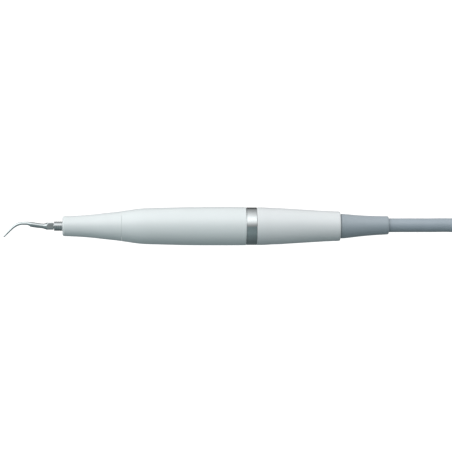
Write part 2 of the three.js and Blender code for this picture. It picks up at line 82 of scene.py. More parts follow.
MM = 0.001
TURN = 2.0 * math.pi
BODY_FRONT = -39.3  # the station of the handpiece body's front, where the nose cone meets it
CORD_RISE = 0.5  # how far the cord ends up above the handpiece's axis
RISE_FROM, RISE_TO = 74.0, 106.0  # the stations between which the boot and the cord rise

Pair = tuple[float, float]
Corner = tuple[float, float, float]  # station along the axis, radius, fillet
Colour = tuple[float, float, float]
Place = tuple[float, float, float]
Faces = list[tuple[int, ...]]


class Body(Enum):
    """The frame's moving bodies."""

    CORD_SET = "cord_set"
    TIP = "tip"
    TRANSDUCER = "transducer"
    NOSE_SEAL = "nose_seal"
    NOSE = "nose"
    HANDPIECE = "handpiece"
    NUT = "coupling_nut"


class Slot(Enum):
    """Names of the material slots."""

    SHELL = "white_shell"
    RING = "ring_steel"
    TIP = "tip_steel"
    HORN = "horn_titanium"
    INNER = "inner_steel"
    CONTACT = "contact_brass"
    PIEZO = "piezo_ceramic"
    PEEK = "peek"
    BLACK = "black_plastic"
    SEAL = "seal_rubber"
    CLEAR = "clear_silicone"
    CORD = "grey_silicone"
    RED = "red_wire"
    BLACK_WIRE = "black_wire"
    STRAP = "strap_fabric"


# ---- Frame datums ------------------------------------------------------------------------------


@dataclass(frozen=True)
class Datum:
    """Where a piece's own millimetres start, and which way its axis points.

    Attributes:
        origin: The datum's zero in the row frame, in metres.
        heading: 1 where the piece's axis runs along +X, and -1 where it runs along -X.
    """

    origin: Vector
    heading: int = 1

    def place(self, points: np.ndarray) -> np.ndarray:
        """Moves points into the row frame.

        Args:
            points: Points in the piece's millimetres, one a row.

        Returns:
            The same points in metres in the row frame.
        """
        spun = points * np.array([self.heading, self.heading, 1.0])
        return spun * MM + np.array(self.origin)


def centre_of(node: str) -> Vector:
    """The middle of a frame node's box, in metres."""
    low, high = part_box(node)
    return (low + high) / 2


def handpiece_datum() -> Datum:
    """The datum on the handpiece's axis, by its body, whose front is at the body's station."""
    axis = centre_of("body_shell")
    return Datum(Vector((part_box("body_shell")[0].x - BODY_FRONT * MM, axis.y, axis.z)))


def plug_datum() -> Datum:
    """The datum at the rear end of the plug's boot, on the plug's axis, facing the handpiece."""
    axis = centre_of("plug_shell")
    return Datum(Vector((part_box("plug_boot")[1].x, axis.y, axis.z)), heading=-1)


def table_datum() -> Datum:
    """The datum on the table under the middle of the handpiece, for the cord and its ties.

    Returns:
        The datum.
    """
    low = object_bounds()[0]
    middle = handpiece_datum().origin
    return Datum(Vector((middle.x, middle.y, low.z)))


# ---- Shader boards and finishes ----------------------------------------------------------------


class Board:
    """A material's node tree with short ways to add and join nodes."""

    def __init__(self, name: str) -> None:
        """Makes an empty material with its surface shader.

        Args:
            name: The material's name.
        """
        self.material = bpy.data.materials.new(name)
        self.material.use_nodes = True
        self.tree = self.material.node_tree
        self.tree.nodes.clear()
        self.shader = self.tree.nodes.new("ShaderNodeBsdfPrincipled")
        output = self.tree.nodes.new("ShaderNodeOutputMaterial")
        self.join(self.shader.outputs["BSDF"], output.inputs["Surface"])
        self.place = self.node("ShaderNodeTexCoord").outputs["Object"]

    def node(self, kind: str, **settings: object) -> bpy.types.Node:
        """Adds a node.

        Args:
            kind: Blender's name of the node's type.
            **settings: Properties to set on the node.

        Returns:
            The new node.
        """
        made = self.tree.nodes.new(kind)
        for name, value in settings.items():
            setattr(made, name, value)
        return made

    def join(self, start: bpy.types.NodeSocket, end: bpy.types.NodeSocket) -> None:
        """Links one socket to another."""
        self.tree.links.new(start, end)

    def stretched(self, scale: Colour) -> bpy.types.NodeSocket:
        """The piece's own coordinates, stretched.

        Args:
            scale: How often the pattern repeats along X, Y and Z.

        Returns:
            The socket with the stretched coordinates.
        """
        mapping = self.node("ShaderNodeMapping")
        mapping.inputs["Scale"].default_value = scale
        self.join(self.place, mapping.inputs["Vector"])
        return mapping.outputs["Vector"]

    def noise(
        self, scale: float, detail: float = 2.0, vector: bpy.types.NodeSocket | None = None
    ) -> bpy.types.NodeSocket:
        """Adds a noise pattern.

        Args:
            scale: Bumps to the metre, or to the stretched unit.
            detail: How much finer structure it has.
            vector: Coordinates, or None for the piece's own.

        Returns:
            The noise's value socket.
        """
        made = self.node("ShaderNodeTexNoise")
        made.inputs["Scale"].default_value = scale
        made.inputs["Detail"].default_value = detail
        self.join(vector or self.place, made.inputs["Vector"])
        return made.outputs["Fac"]

    def ranged(self, value: bpy.types.NodeSocket, low: float, high: float) -> bpy.types.NodeSocket:
        """Spreads a noise's middle part over a range.

        Args:
            value: The noise's value socket.
            low: What a low noise gives.
            high: What a high noise gives.

        Returns:
            The socket with the new value.
        """
        made = self.node("ShaderNodeMapRange")
        made.inputs["From Min"].default_value = 0.3
        made.inputs["From Max"].default_value = 0.7
        made.inputs["To Min"].default_value = low
        made.inputs["To Max"].default_value = high
        self.join(value, made.inputs["Value"])
        return made.outputs["Result"]

    def shades(self, value: bpy.types.NodeSocket, dark: Colour, light: Colour) -> None:
        """Colours the surface between two shades.

        Args:
            value: The pattern's value socket.
            dark: The shade where the pattern is low.
            light: The shade where it is high.
        """
        ramp = self.node("ShaderNodeValToRGB")
        first, last = ramp.color_ramp.elements
        first.position, first.color = 0.3, (*dark, 1.0)
        last.position, last.color = 0.7, (*light, 1.0)
        self.join(value, ramp.inputs["Fac"])
        self.join(ramp.outputs["Color"], self.shader.inputs["Base Color"])

    def bump(self, height: bpy.types.NodeSocket, strength: float, depth_mm: float) -> None:
        """Roughens the surface with a pattern.

        Args:
            height: The pattern's value socket.
            strength: Share of the depth that shows.
            depth_mm: The depth of the pattern.
        """
        made = self.node("ShaderNodeBump")
        made.inputs["Strength"].default_value = strength
        made.inputs["Distance"].default_value = depth_mm * MM
        self.join(height, made.inputs["Height"])
        self.join(made.outputs["Normal"], self.shader.inputs["Normal"])

    def settle(self, **values: float) -> None:
        """Sets the shader's own numbers, by names with underscores for spaces."""
        for name, value in values.items():
            self.shader.inputs[name.replace("_", " ")].default_value = value


def shade(colour: Colour, by: float) -> Colour:
    """A colour made lighter or darker by a factor."""
    red, green, blue = (min(1.0, part * by) for part in colour)
    return (red, green, blue)


@dataclass(frozen=True)
class Finish:
    """What all finishes share.

    Attributes:
        label: The material's name.
        slot: The slot that it belongs to; not used.
        colour: Its base colour.
        roughness: Its roughness where it is plain.
    """

    label: str
    slot: Slot
    colour: Colour
    roughness: float

    def paint(self, board: Board) -> None:
        """Fills the board with this finish's nodes."""
        raise NotImplementedError

    def material(self) -> bpy.types.Material:
        """The finish's material, made the first time it is asked for.

        Returns:
            The material.
        """
        known = bpy.data.materials.get(self.label)
        if known is None:
            board = Board(self.label)
            self.paint(board)
            known = board.material
        return known


@dataclass(frozen=True)
class MouldedPlastic(Finish):
    """Injection-moulded plastic: a fine spark grain, faint clouding and an even satin gloss.

    Attributes:
        grain_mm: Depth of the grain.
        clouding: How far the colour wanders.
        gloss: Strength of the mirrored light, where 0.5 is a plain plastic's.
    """

    grain_mm: float = 0.006
    clouding: float = 0.012
    gloss: float = 0.5

    def paint(self, board: Board) -> None:
        """Fills the board with grain, clouding and gloss.

        Args:
            board: The board to fill.
        """
        clouds = board.noise(70.0, detail=3.0)
        board.shades(clouds, shade(self.colour, 1 - self.clouding), shade(self.colour, 1 + self.clouding))
        sheen = board.ranged(board.noise(900.0), self.roughness - 0.03, self.roughness + 0.03)
        board.join(sheen, board.shader.inputs["Roughness"])
        board.bump(board.noise(5200.0, detail=1.0), 0.5, self.grain_mm)
        board.settle(IOR=1.5, Specular_IOR_Level=self.gloss)


@dataclass(frozen=True)
class WorkedMetal(Finish):
    """Turned, ground or drawn metal with fine tool lines and a little wear.

    Attributes:
        lines: How often the tool lines repeat along X, Y and Z, to the metre.
        line_mm: Depth of the tool lines.
        wear: How far gloss and shade wander.
    """

    lines: Colour = (9000.0, 60.0, 60.0)
    line_mm: float = 0.0015
    wear: float = 0.04

    def paint(self, board: Board) -> None:
        """Fills the board with tool lines, handling marks and wear.

        Args:
            board: The board to fill.
        """
        lines = board.noise(1.0, detail=2.0, vector=board.stretched(self.lines))
        marks = board.noise(420.0, detail=4.0)
        board.shades(marks, shade(self.colour, 1 - self.wear), shade(self.colour, 1 + self.wear))
        gloss = board.ranged(marks, self.roughness * 0.85, self.roughness * 1.25)
        board.join(gloss, board.shader.inputs["Roughness"])
        board.bump(lines, 0.4, self.line_mm)
        board.settle(Metallic=1.0)


@dataclass(frozen=True)
class PaintedHighlightPoint(WorkedMetal):
    """Ground steel with a painted highlight: its colour is made lighter at the working end and darker on the
    shank.

    Attributes:
        highlight_to: The place along the frame's X where the painted highlight starts to fade, in mm.
        highlight_gone_from: The place where it has gone.
        point_painted_highlight: How much lighter the working end's colour is painted, a painted highlight.
        shank_darkening: How much darker the shank's colour is painted.
    """

    highlight_to: float = -89.0
    highlight_gone_from: float = -85.5
    point_painted_highlight: float = 1.18
    shank_darkening: float = 0.94

    def paint(self, board: Board) -> None:
        """Fills the board with worked metal and fades a painted highlight along the piece.

        Args:
            board: The board to fill.
        """
        super().paint(board)
        split = board.node("ShaderNodeSeparateXYZ")
        board.join(board.place, split.inputs["Vector"])
        # painted highlight: the base colour is scaled lighter at the working end and darker on the shank
        fade = board.node("ShaderNodeMapRange", interpolation_type="SMOOTHSTEP")
        fade.inputs["From Min"].default_value = self.highlight_to * MM
        fade.inputs["From Max"].default_value = self.highlight_gone_from * MM
        fade.inputs["To Min"].default_value = self.point_painted_highlight
        fade.inputs["To Max"].default_value = self.shank_darkening
        board.join(split.outputs["X"], fade.inputs["Value"])
        colour = board.shader.inputs["Base Color"]
        scaled = board.node("ShaderNodeVectorMath", operation="SCALE")
        board.join(colour.links[0].from_socket, scaled.inputs["Vector"])
        board.join(fade.outputs["Result"], scaled.inputs["Scale"])
        board.join(scaled.outputs["Vector"], colour)


@dataclass(frozen=True)
class SoftRubber(Finish):
    """Silicone or rubber: matt, faintly mottled, with a fine moulded or extruded skin.

    Attributes:
        skin: How often the skin's grain repeats along X, Y and Z, to the metre.
        skin_mm: Depth of the grain.
        bloom: Strength of the pale bloom that a matt rubber has.
        gloss: Strength of the mirrored light, where 0.5 is a plain rubber's.
    """

    skin: Colour = (2600.0, 2600.0, 2600.0)
    skin_mm: float = 0.012
    bloom: float = 0.08
    gloss: float = 0.4

    def paint(self, board: Board) -> None:
        """Fills the board with mottling, skin grain and bloom.

        Args:
            board: The board to fill.
        """
        mottle = board.noise(150.0, detail=5.0)
        board.shades(mottle, shade(self.colour, 0.98), shade(self.colour, 1.02))
        rough = board.ranged(board.noise(700.0), self.roughness - 0.05, self.roughness + 0.05)
        board.join(rough, board.shader.inputs["Roughness"])
        board.bump(board.noise(1.0, detail=2.0, vector=board.stretched(self.skin)), 0.5, self.skin_mm)
        board.settle(IOR=1.5, Specular_IOR_Level=self.gloss)
        board.settle(Sheen_Weight=self.bloom, Sheen_Roughness=0.5)


@dataclass(frozen=True)
class FiredCeramic(Finish):
    """Piezo ceramic: a dense, speckled, lightly ground surface."""

    def paint(self, board: Board) -> None:
        """Fills the board with speckle and ground texture.

        Args:
            board: The board to fill.
        """
        speckle = board.noise(6000.0, detail=3.0)
        board.shades(speckle, shade(self.colour, 0.82), shade(self.colour, 1.12))
        ground = board.ranged(board.noise(2400.0), self.roughness - 0.08, self.roughness + 0.08)
        board.join(ground, board.shader.inputs["Roughness"])
        board.bump(speckle, 0.4, 0.01)


@dataclass(frozen=True)
class WovenStrap(Finish):
    """A woven strap: crossing yarns, random lint, a soft sheen, and painted shade in the weave's hollows with
    a painted highlight on the yarn tops.

    Attributes:
        yarn_mm: Width of one yarn.
    """

    yarn_mm: float = 0.7

    def paint(self, board: Board) -> None:
        """Fills the board with the weave, its lint, its painted shade and highlight, and its sheen.

        Args:
            board: The board to fill.
        """
        split = board.node("ShaderNodeSeparateXYZ")
        board.join(board.place, split.inputs["Vector"])
        around = board.node("ShaderNodeMath", operation="ADD")
        board.join(split.outputs["Y"], around.inputs[0])
        board.join(split.outputs["Z"], around.inputs[1])
        waves = [self.wave(board, split.outputs["X"]), self.wave(board, around.outputs["Value"])]
        crossed = board.node("ShaderNodeMath", operation="MULTIPLY")
        for index, wave in enumerate(waves):
            board.join(wave, crossed.inputs[index])
        noisy_weave = board.node("ShaderNodeMath", operation="MULTIPLY_ADD")
        noisy_weave.inputs[1].default_value = 0.35
        board.join(board.noise(5000.0, detail=4.0), noisy_weave.inputs[0])
        board.join(crossed.outputs["Value"], noisy_weave.inputs[2])
        weave = noisy_weave.outputs["Value"]
        # painted shade and highlight: colour darker in the weave's hollows and lighter on the yarn tops,
        # following the bump's height
        board.shades(weave, shade(self.colour, 0.7), shade(self.colour, 1.25))
        board.bump(weave, 0.8, 0.12)
        board.settle(Roughness=self.roughness, Sheen_Weight=0.3, Sheen_Roughness=0.4)

    def wave(self, board: Board, along: bpy.types.NodeSocket) -> bpy.types.NodeSocket:
        """One direction of the weave.

        Args:
            board: The board to add to.
            along: The coordinate across the yarns, in metres.

        Returns:
            A socket that swings between -1 and 1 from yarn to yarn.
        """
        count = board.node("ShaderNodeMath", operation="MULTIPLY")
        count.inputs[1].default_value = math.pi / (self.yarn_mm * MM)
        board.join(along, count.inputs[0])
        swing = board.node("ShaderNodeMath", operation="SINE")
        board.join(count.outputs["Value"], swing.inputs[0])
        return swing.outputs["Value"]


WHITE_SHELL = MouldedPlastic("white shell plastic", Slot.SHELL, (0.855, 0.915, 0.925), 0.32, gloss=0.8)
CONNECTOR_SHELL = MouldedPlastic("connector plastic", Slot.SHELL, (0.84, 0.88, 0.895), 0.34, gloss=0.65)
RING_STEEL = WorkedMetal("ring steel", Slot.RING, (0.61, 0.65, 0.66), 0.08)
# the tip steel carries a painted highlight at its working end
TIP_STEEL = PaintedHighlightPoint(
    "tip steel", Slot.TIP, (0.55, 0.6, 0.61), 0.17, lines=(500.0, 2500.0, 2500.0), line_mm=0.0012
)
HORN_METAL = WorkedMetal("horn titanium", Slot.HORN, (0.5, 0.53, 0.54), 0.2)
INNER_STEEL = WorkedMetal("inner steel", Slot.INNER, (0.56, 0.57, 0.58), 0.28)
CONTACT_GOLD = WorkedMetal("contact gold", Slot.CONTACT, (0.86, 0.62, 0.27), 0.22)
PIEZO = FiredCeramic("piezo ceramic", Slot.PIEZO, (0.50, 0.42, 0.31), 0.6)
PEEK = MouldedPlastic("insulator plastic", Slot.PEEK, (0.55, 0.44, 0.27), 0.5)
BLACK_PLASTIC = MouldedPlastic("black plastic", Slot.BLACK, (0.022, 0.024, 0.026), 0.42, clouding=0.08)
SEAL_RUBBER = SoftRubber("seal rubber", Slot.SEAL, (0.03, 0.031, 0.033), 0.55, bloom=0.03)
CLEAR_TUBE = SoftRubber("clear silicone", Slot.CLEAR, (0.62, 0.68, 0.70), 0.32, skin_mm=0.004)
BOOT_RUBBER = SoftRubber("boot silicone", Slot.CORD, (0.36, 0.425, 0.475), 0.5, bloom=0.5, gloss=0.95)
CORD_SKIN = SoftRubber(
    "cord silicone", Slot.CORD, (0.355, 0.425, 0.485), 0.48, skin=(350.0, 3200.0, 3200.0), skin_mm=0.01,
    bloom=0.4, gloss=0.9
)
RED_SKIN = SoftRubber("red wire skin", Slot.RED, (0.45, 0.035, 0.03), 0.4, skin_mm=0.004)
BLACK_SKIN = SoftRubber("black wire skin", Slot.BLACK_WIRE, (0.02, 0.02, 0.022), 0.4, skin_mm=0.004)
STRAP_WEAVE = WovenStrap("strap weave", Slot.STRAP, (0.055, 0.065, 0.08), 0.85)


# ---- Outlines and reliefs ----------------------------------------------------------------------


def slopes(knots: np.ndarray, values: np.ndarray) -> np.ndarray:
    """Slopes that keep a cubic run from overshooting its stations.

    Args:
        knots: Where the stations are, rising.
        values: What they hold.

    Returns:
        The slope at each station.
    """
    steps = np.diff(values) / np.diff(knots)
    inner = np.zeros(len(values))
    inner[0], inner[-1] = steps[0], steps[-1]
    for index in range(1, len(values) - 1):
        before, after = steps[index - 1], steps[index]
        if before * after > 0:
            inner[index] = 2 * before * after / (before + after)
    return inner


def flow(knots: Sequence[float], values: Sequence[float], at: np.ndarray) -> np.ndarray:
    """A smooth run through stations, without overshoot.

    Args:
        knots: Where the stations are, rising.
        values: What they hold.
        at: Where the run is asked for.

    Returns:
        The run's values there.
    """
    places, held = np.array(knots, float), np.array(values, float)
    slope = slopes(places, held)
    index = np.clip(np.searchsorted(places, at, side="right") - 1, 0, len(places) - 2)
    width = places[index + 1] - places[index]
    share = (at - places[index]) / width
    start = (1 + 2 * share) * (1 - share) ** 2 * held[index] + share * (1 - share) ** 2 * width * slope[index]
    end = share**2 * (3 - 2 * share) * held[index + 1] + share**2 * (share - 1) * width * slope[index + 1]
    return start + end


def flowing(stations: Sequence[Pair], steps: int = 6) -> list[Corner]:
    """Turns stations into a smooth stretch of outline.

    Args:
        stations: Axis station and radius, rising along the axis.
        steps: Points from one station to the next.

    Returns:
        Corners without fillets.
    """
    knots, radii = zip(*stations)
    parts = [np.linspace(a, b, steps, endpoint=False) for a, b in zip(knots, knots[1:])]
    at = np.append(np.concatenate(parts), knots[-1])
    return [(float(x), float(r), 0.0) for x, r in zip(at, flow(knots, radii, at))]


def rounded(corners: Sequence[Corner], steps: int = 5) -> list[Pair]:
    """Rounds an outline's corners.

    Args:
        corners: Station, radius and fillet of each corner.
        steps: Points on each fillet.

    Returns:
        The rounded outline's stations and radii.
    """
    closed = corners[0][1] > 0
    count = len(corners)
    outline: list[Pair] = []
    for index, (x, r, fillet) in enumerate(corners):
        inside = closed or 0 < index < count - 1
        if fillet <= 0 or not inside:
            outline.append((x, r))
            continue
        here = np.array([x, r])
        back = np.array(corners[index - 1][:2]) - here
        ahead = np.array(corners[(index + 1) % count][:2]) - here
        starts, ends = (v / np.linalg.norm(v) * min(fillet, 0.48 * np.linalg.norm(v)) for v in (back, ahead))
        for share in np.linspace(0.0, 1.0, steps + 1):
            point = here + starts * (1 - share) ** 2 + ends * share**2
            outline.append((float(point[0]), float(point[1])))
    return outline


class Relief:
    """A change of a turned piece's radius round its axis. The plain one changes nothing."""

    def radius(self, x: np.ndarray, r: np.ndarray, turn: np.ndarray) -> np.ndarray:
        """Radii with the relief.

        Args:
            x: Stations along the axis, in a column.
            r: Radii of the outline, in a column.
            turn: Angles round the axis, in a row.

        Returns:
            A radius for each station and angle.
        """
        return r + 0 * turn


@dataclass(frozen=True)
class Thread(Relief):
    """A screw thread cut into the radius between two stations.

    Attributes:
        start: Where it starts.
        end: Where it ends.
        pitch: From turn to turn.
        depth: How deep it is cut.
        outer_from: The radius above which it is cut, so that a bore stays plain.
    """

    start: float
    end: float
    pitch: float
    depth: float
    outer_from: float = 0.0

    def radius(self, x: np.ndarray, r: np.ndarray, turn: np.ndarray) -> np.ndarray:
        """Radii with the thread, as Relief.radius.

        Args:
            x: Stations along the axis, in a column.
            r: Radii of the outline, in a column.
            turn: Angles round the axis, in a row.

        Returns:
            A radius for each station and angle.
        """
        phase = (x / self.pitch - turn / TURN) % 1.0
        groove = np.abs(phase - 0.5) * 2
        runout = np.clip(np.minimum(x - self.start, self.end - x) / self.pitch, 0, 1)
        cut = np.where(r > self.outer_from, runout, 0.0)
        return r - self.depth * groove * cut


@dataclass(frozen=True)
class Flutes(Relief):
    """Straight grip flutes round the outside between two stations.

    Attributes:
        start: Where they start.
        end: Where they end.
        count: How many there are.
        depth: How deep they are.
        outer_from: The radius above which they are cut.
    """

    start: float
    end: float
    count: int
    depth: float
    outer_from: float

    def radius(self, x: np.ndarray, r: np.ndarray, turn: np.ndarray) -> np.ndarray:
        """Radii with the flutes, as Relief.radius.

        Args:
            x: Stations along the axis, in a column.
            r: Radii of the outline, in a column.
            turn: Angles round the axis, in a row.

        Returns:
            A radius for each station and angle.
        """
        runout = np.clip(np.minimum(x - self.start, self.end - x) / self.depth / 2, 0, 1)
        cut = np.where(r > self.outer_from, runout, 0.0)
        return r - self.depth * cut * (0.5 - 0.5 * np.cos(self.count * turn)) ** 2


@dataclass(frozen=True)
class Flats(Relief):
    """Wrench flats between two stations, with one of them facing sideways.

    Attributes:
        start: Where they start.
        end: Where they end.
        count: How many there are.
        apothem: Half the width across them.
    """

    start: float
    end: float
    count: int
    apothem: float

    def radius(self, x: np.ndarray, r: np.ndarray, turn: np.ndarray) -> np.ndarray:
        """Radii with the flats, as Relief.radius.

        Args:
            x: Stations along the axis, in a column.
            r: Radii of the outline, in a column.
            turn: Angles round the axis, in a row.

        Returns:
            A radius for each station and angle.
        """
        share = TURN / self.count
        off = (turn + share / 2) % share - share / 2
        flat = self.apothem / np.cos(off)
        return np.where((x > self.start) & (x < self.end), np.minimum(r, flat), r + 0 * turn)


# ---- Meshes ------------------------------------------------------------------------------------

CREASE_DEG = 34.0  # the angle from which an edge of a turned piece stays sharp


def finished(mesh: bpy.types.Mesh, crease_deg: float) -> None:
    """Closes a mesh's doubles, turns its faces outwards and shades it smooth between creases.

    Args:
        mesh: The mesh to finish.
        crease_deg: The angle from which an edge stays sharp.
    """
    soup = bmesh.new()
    soup.from_mesh(mesh)
    bmesh.ops.remove_doubles(soup, verts=soup.verts, dist=1e-7)
    bmesh.ops.recalc_face_normals(soup, faces=soup.faces)
    for face in soup.faces:
        face.smooth = True
    soup.to_mesh(mesh)
    soup.free()
    mesh.set_sharp_from_angle(angle=math.radians(crease_deg))
    mesh.update()


def turned_points(outline: Sequence[Pair], facets: int, relief: Relief) -> tuple[np.ndarray, Faces]:
    """Points and faces of an outline turned about the X axis.

    Args:
        outline: Stations and radii, closed on itself where it starts off the axis.
        facets: Facets round the axis.
        relief: What changes the radius round the axis.

    Returns:
        The points in millimetres and the faces.
    """
    stations = np.array(outline)
    turn = np.linspace(0, TURN, facets, endpoint=False)[None, :]
    x, r = stations[:, :1], stations[:, 1:]
    radius = relief.radius(x, r, turn)
    points = np.stack([x + 0 * turn, radius * np.cos(turn), radius * np.sin(turn)], axis=2)
    rings = len(stations)
    closed = stations[0, 1] > 0
    faces = []
    for ring in range(rings if closed else rings - 1):
        after = (ring + 1) % rings
        for side in range(facets):
            beside = (side + 1) % facets
            faces.append(
                (ring * facets + side, after * facets + side, after * facets + beside, ring * facets + beside)
            )
    return points.reshape(-1, 3), faces


def skin(rings: int, sides: int) -> Faces:
    """The faces between neighbouring rings of points, for a piece lofted along a line.

    Args:
        rings: How many rings there are.
        sides: Points in each ring.

    Returns:
        The faces.
    """
    faces: Faces = []
    for ring in range(rings - 1):
        base = ring * sides
        for side in range(sides):
            beside = (side + 1) % sides
            faces.append((base + side, base + beside, base + sides + beside, base + sides + side))
    return faces


def new_piece(
    name: str, points: np.ndarray, faces: Faces, crease_deg: float = CREASE_DEG
) -> bpy.types.Object:
    """Makes a mesh piece from points in metres.

    Args:
        name: The piece's name.
        points: Points in the row frame, in metres.
        faces: The faces, as rows of point numbers.
        crease_deg: The angle from which an edge stays sharp.

    Returns:
        The new object.
    """
    mesh = bpy.data.meshes.new(name)
    mesh.from_pydata(points.tolist(), [], faces)
    finished(mesh, crease_deg)
    piece = bpy.data.objects.new(name, mesh)
    bpy.context.scene.collection.objects.link(piece)
    return piece


@dataclass(frozen=True)
class Drill:
    """A round hole along X, drilled into a piece.

    Attributes:
        start: First station.
        end: Last station.
        radius: The hole's radius.
        y: How far the hole is off the axis sideways.
        z: How far it is off the axis upwards.
        facets: Facets round the hole.
    """

    start: float
    end: float
    radius: float
    y: float = 0.0
    z: float = 0.0
    facets: int = 32

    def cut(self, piece: bpy.types.Object, datum: Datum) -> None:
        """Drills the hole.

        Args:
            piece: The piece to drill.
            datum: The piece's datum.
        """
        outline = [(self.start, 0.0), (self.start, self.radius), (self.end, self.radius), (self.end, 0.0)]
        points, faces = turned_points(outline, self.facets, Relief())
        points = points + np.array([0, self.y, self.z])
        bit = new_piece("drill_bit", datum.place(points), faces)
        modifier = piece.modifiers.new("drill", "BOOLEAN")
        modifier.operation = "DIFFERENCE"
        modifier.solver = "EXACT"
        modifier.object = bit
        depsgraph = bpy.context.evaluated_depsgraph_get()
        drilled = bpy.data.meshes.new_from_object(piece.evaluated_get(depsgraph))
        piece.modifiers.clear()
        piece.data = drilled
        bpy.data.objects.remove(bit)
        finished(drilled, CREASE_DEG)


def dress(
    piece: bpy.types.Object, body: Body, finish: Finish, replaced: Iterable[str] = ()
) -> bpy.types.Object:
    """Gives a piece its finish and its body, and hides the nodes that it stands for.

    Args:
        piece: The piece to dress.
        body: The body that it rides on.
        finish: Its finish.
        replaced: Frame nodes that it stands for.

    Returns:
        The same piece.
    """
    piece.data.materials.clear()
    piece.data.materials.append(finish.material())
    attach(piece, body.value)
    nodes = tuple(replaced)
    if nodes:
        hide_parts(*nodes)
    log.info("%s rides on %s in %s", piece.name, body.value, finish.label)
    return piece


@dataclass
class Turning:
    """A piece turned about its datum's axis, which stands for the frame node of the same place.

    Attributes:
        node: The frame node that it stands for.
        body: The body that it rides on.
        finish: Its finish.
        corners: Its outline.
        facets: Facets round the axis.
        relief: What changes its radius round the axis.
        drills: Holes drilled after turning.
        shift: How far it is off the datum's axis, sideways and upwards.
        bent: Whether it follows the cord's rise.
    """

    node: str
    body: Body
    finish: Finish
    corners: list[Corner]
    facets: int = 64
    relief: Relief = field(default_factory=Relief)
    drills: tuple[Drill, ...] = ()
    shift: Pair = (0.0, 0.0)
    bent: bool = False

    def make(self, datum: Datum) -> bpy.types.Object:
        """Builds and dresses the piece.

        Args:
            datum: The datum that the outline is drawn in.

        Returns:
            The piece.
        """
        points, faces = turned_points(rounded(self.corners), self.facets, self.relief)
        points = points + np.array([0, *self.shift])
        if self.bent:
            points[:, 2] += cord_rise(points[:, 0])
        piece = new_piece(f"{self.node}_look", datum.place(points), faces)
        for drill in self.drills:
            drill.cut(piece, datum)
        return dress(piece, self.body, self.finish, [self.node])


def rod(start: float, end: float, radius: float, fillet: float = 0.1) -> list[Corner]:
    """The outline of a solid rod with rounded ends."""
    return [(start, 0, 0), (start, radius, fillet), (end, radius, fillet), (end, 0, 0)]


def tube(start: float, end: float, bore: float, radius: float, fillet: float = 0.1) -> list[Corner]:
    """The outline of a tube with rounded edges."""
    return [(start, radius, fillet), (end, radius, fillet), (end, bore, fillet), (start, bore, fillet)]


def seal_ring(x: float, middle: float, section: float, sides: int = 20) -> list[Corner]:
    """The outline of an O-ring.

    Args:
        x: Station of its middle plane.
        middle: Radius of its section's centre.
        section: Radius of its section.
        sides: Sides of its section.

    Returns:
        The outline.
    """
    angles = np.linspace(math.pi, -math.pi, sides, endpoint=False)
    return [(x + section * math.cos(a), middle + section * math.sin(a), 0.0) for a in angles]


# ---- Camera, light and table -------------------------------------------------------------------


@dataclass(frozen=True)
class CameraStand:
    """The camera, level with the handpiece's axis and a little towards the tip.

    Attributes:
        distance: From the point that it looks at.
        azimuth_deg: Its turn round the object; 0 looks along +Y.
        aim: The station that it looks at.
        lift: Its height above the handpiece's axis.
        field_deg: Its field of view, edge to edge.
        sensor: Width of its sensor.
    """

    distance: float = 1280.0
    azimuth_deg: float = -2.4
    aim: float = 15.14
    lift: float = 0.1
    field_deg: float = 10.54
    sensor: float = 36.0

    def build(self, datum: Datum) -> None:
        """Makes the scene's camera.

        Args:
            datum: The handpiece's datum.
        """
        angle = math.radians(self.azimuth_deg)
        back = Vector((math.sin(angle), -math.cos(angle), 0.0))
        data = bpy.data.cameras.new("camera")
        data.sensor_width = self.sensor
        data.lens = self.sensor / 2 / math.tan(math.radians(self.field_deg) / 2)
        data.clip_start, data.clip_end = 0.05, 60.0
        camera = bpy.data.objects.new("camera", data)
        camera.location = datum.origin + Vector((self.aim, 0, self.lift)) * MM + back * self.distance * MM
        camera.rotation_mode = "QUATERNION"
        camera.rotation_quaternion = (-back).to_track_quat("-Z", "Y")
        bpy.context.scene.collection.objects.link(camera)
        bpy.context.scene.camera = camera


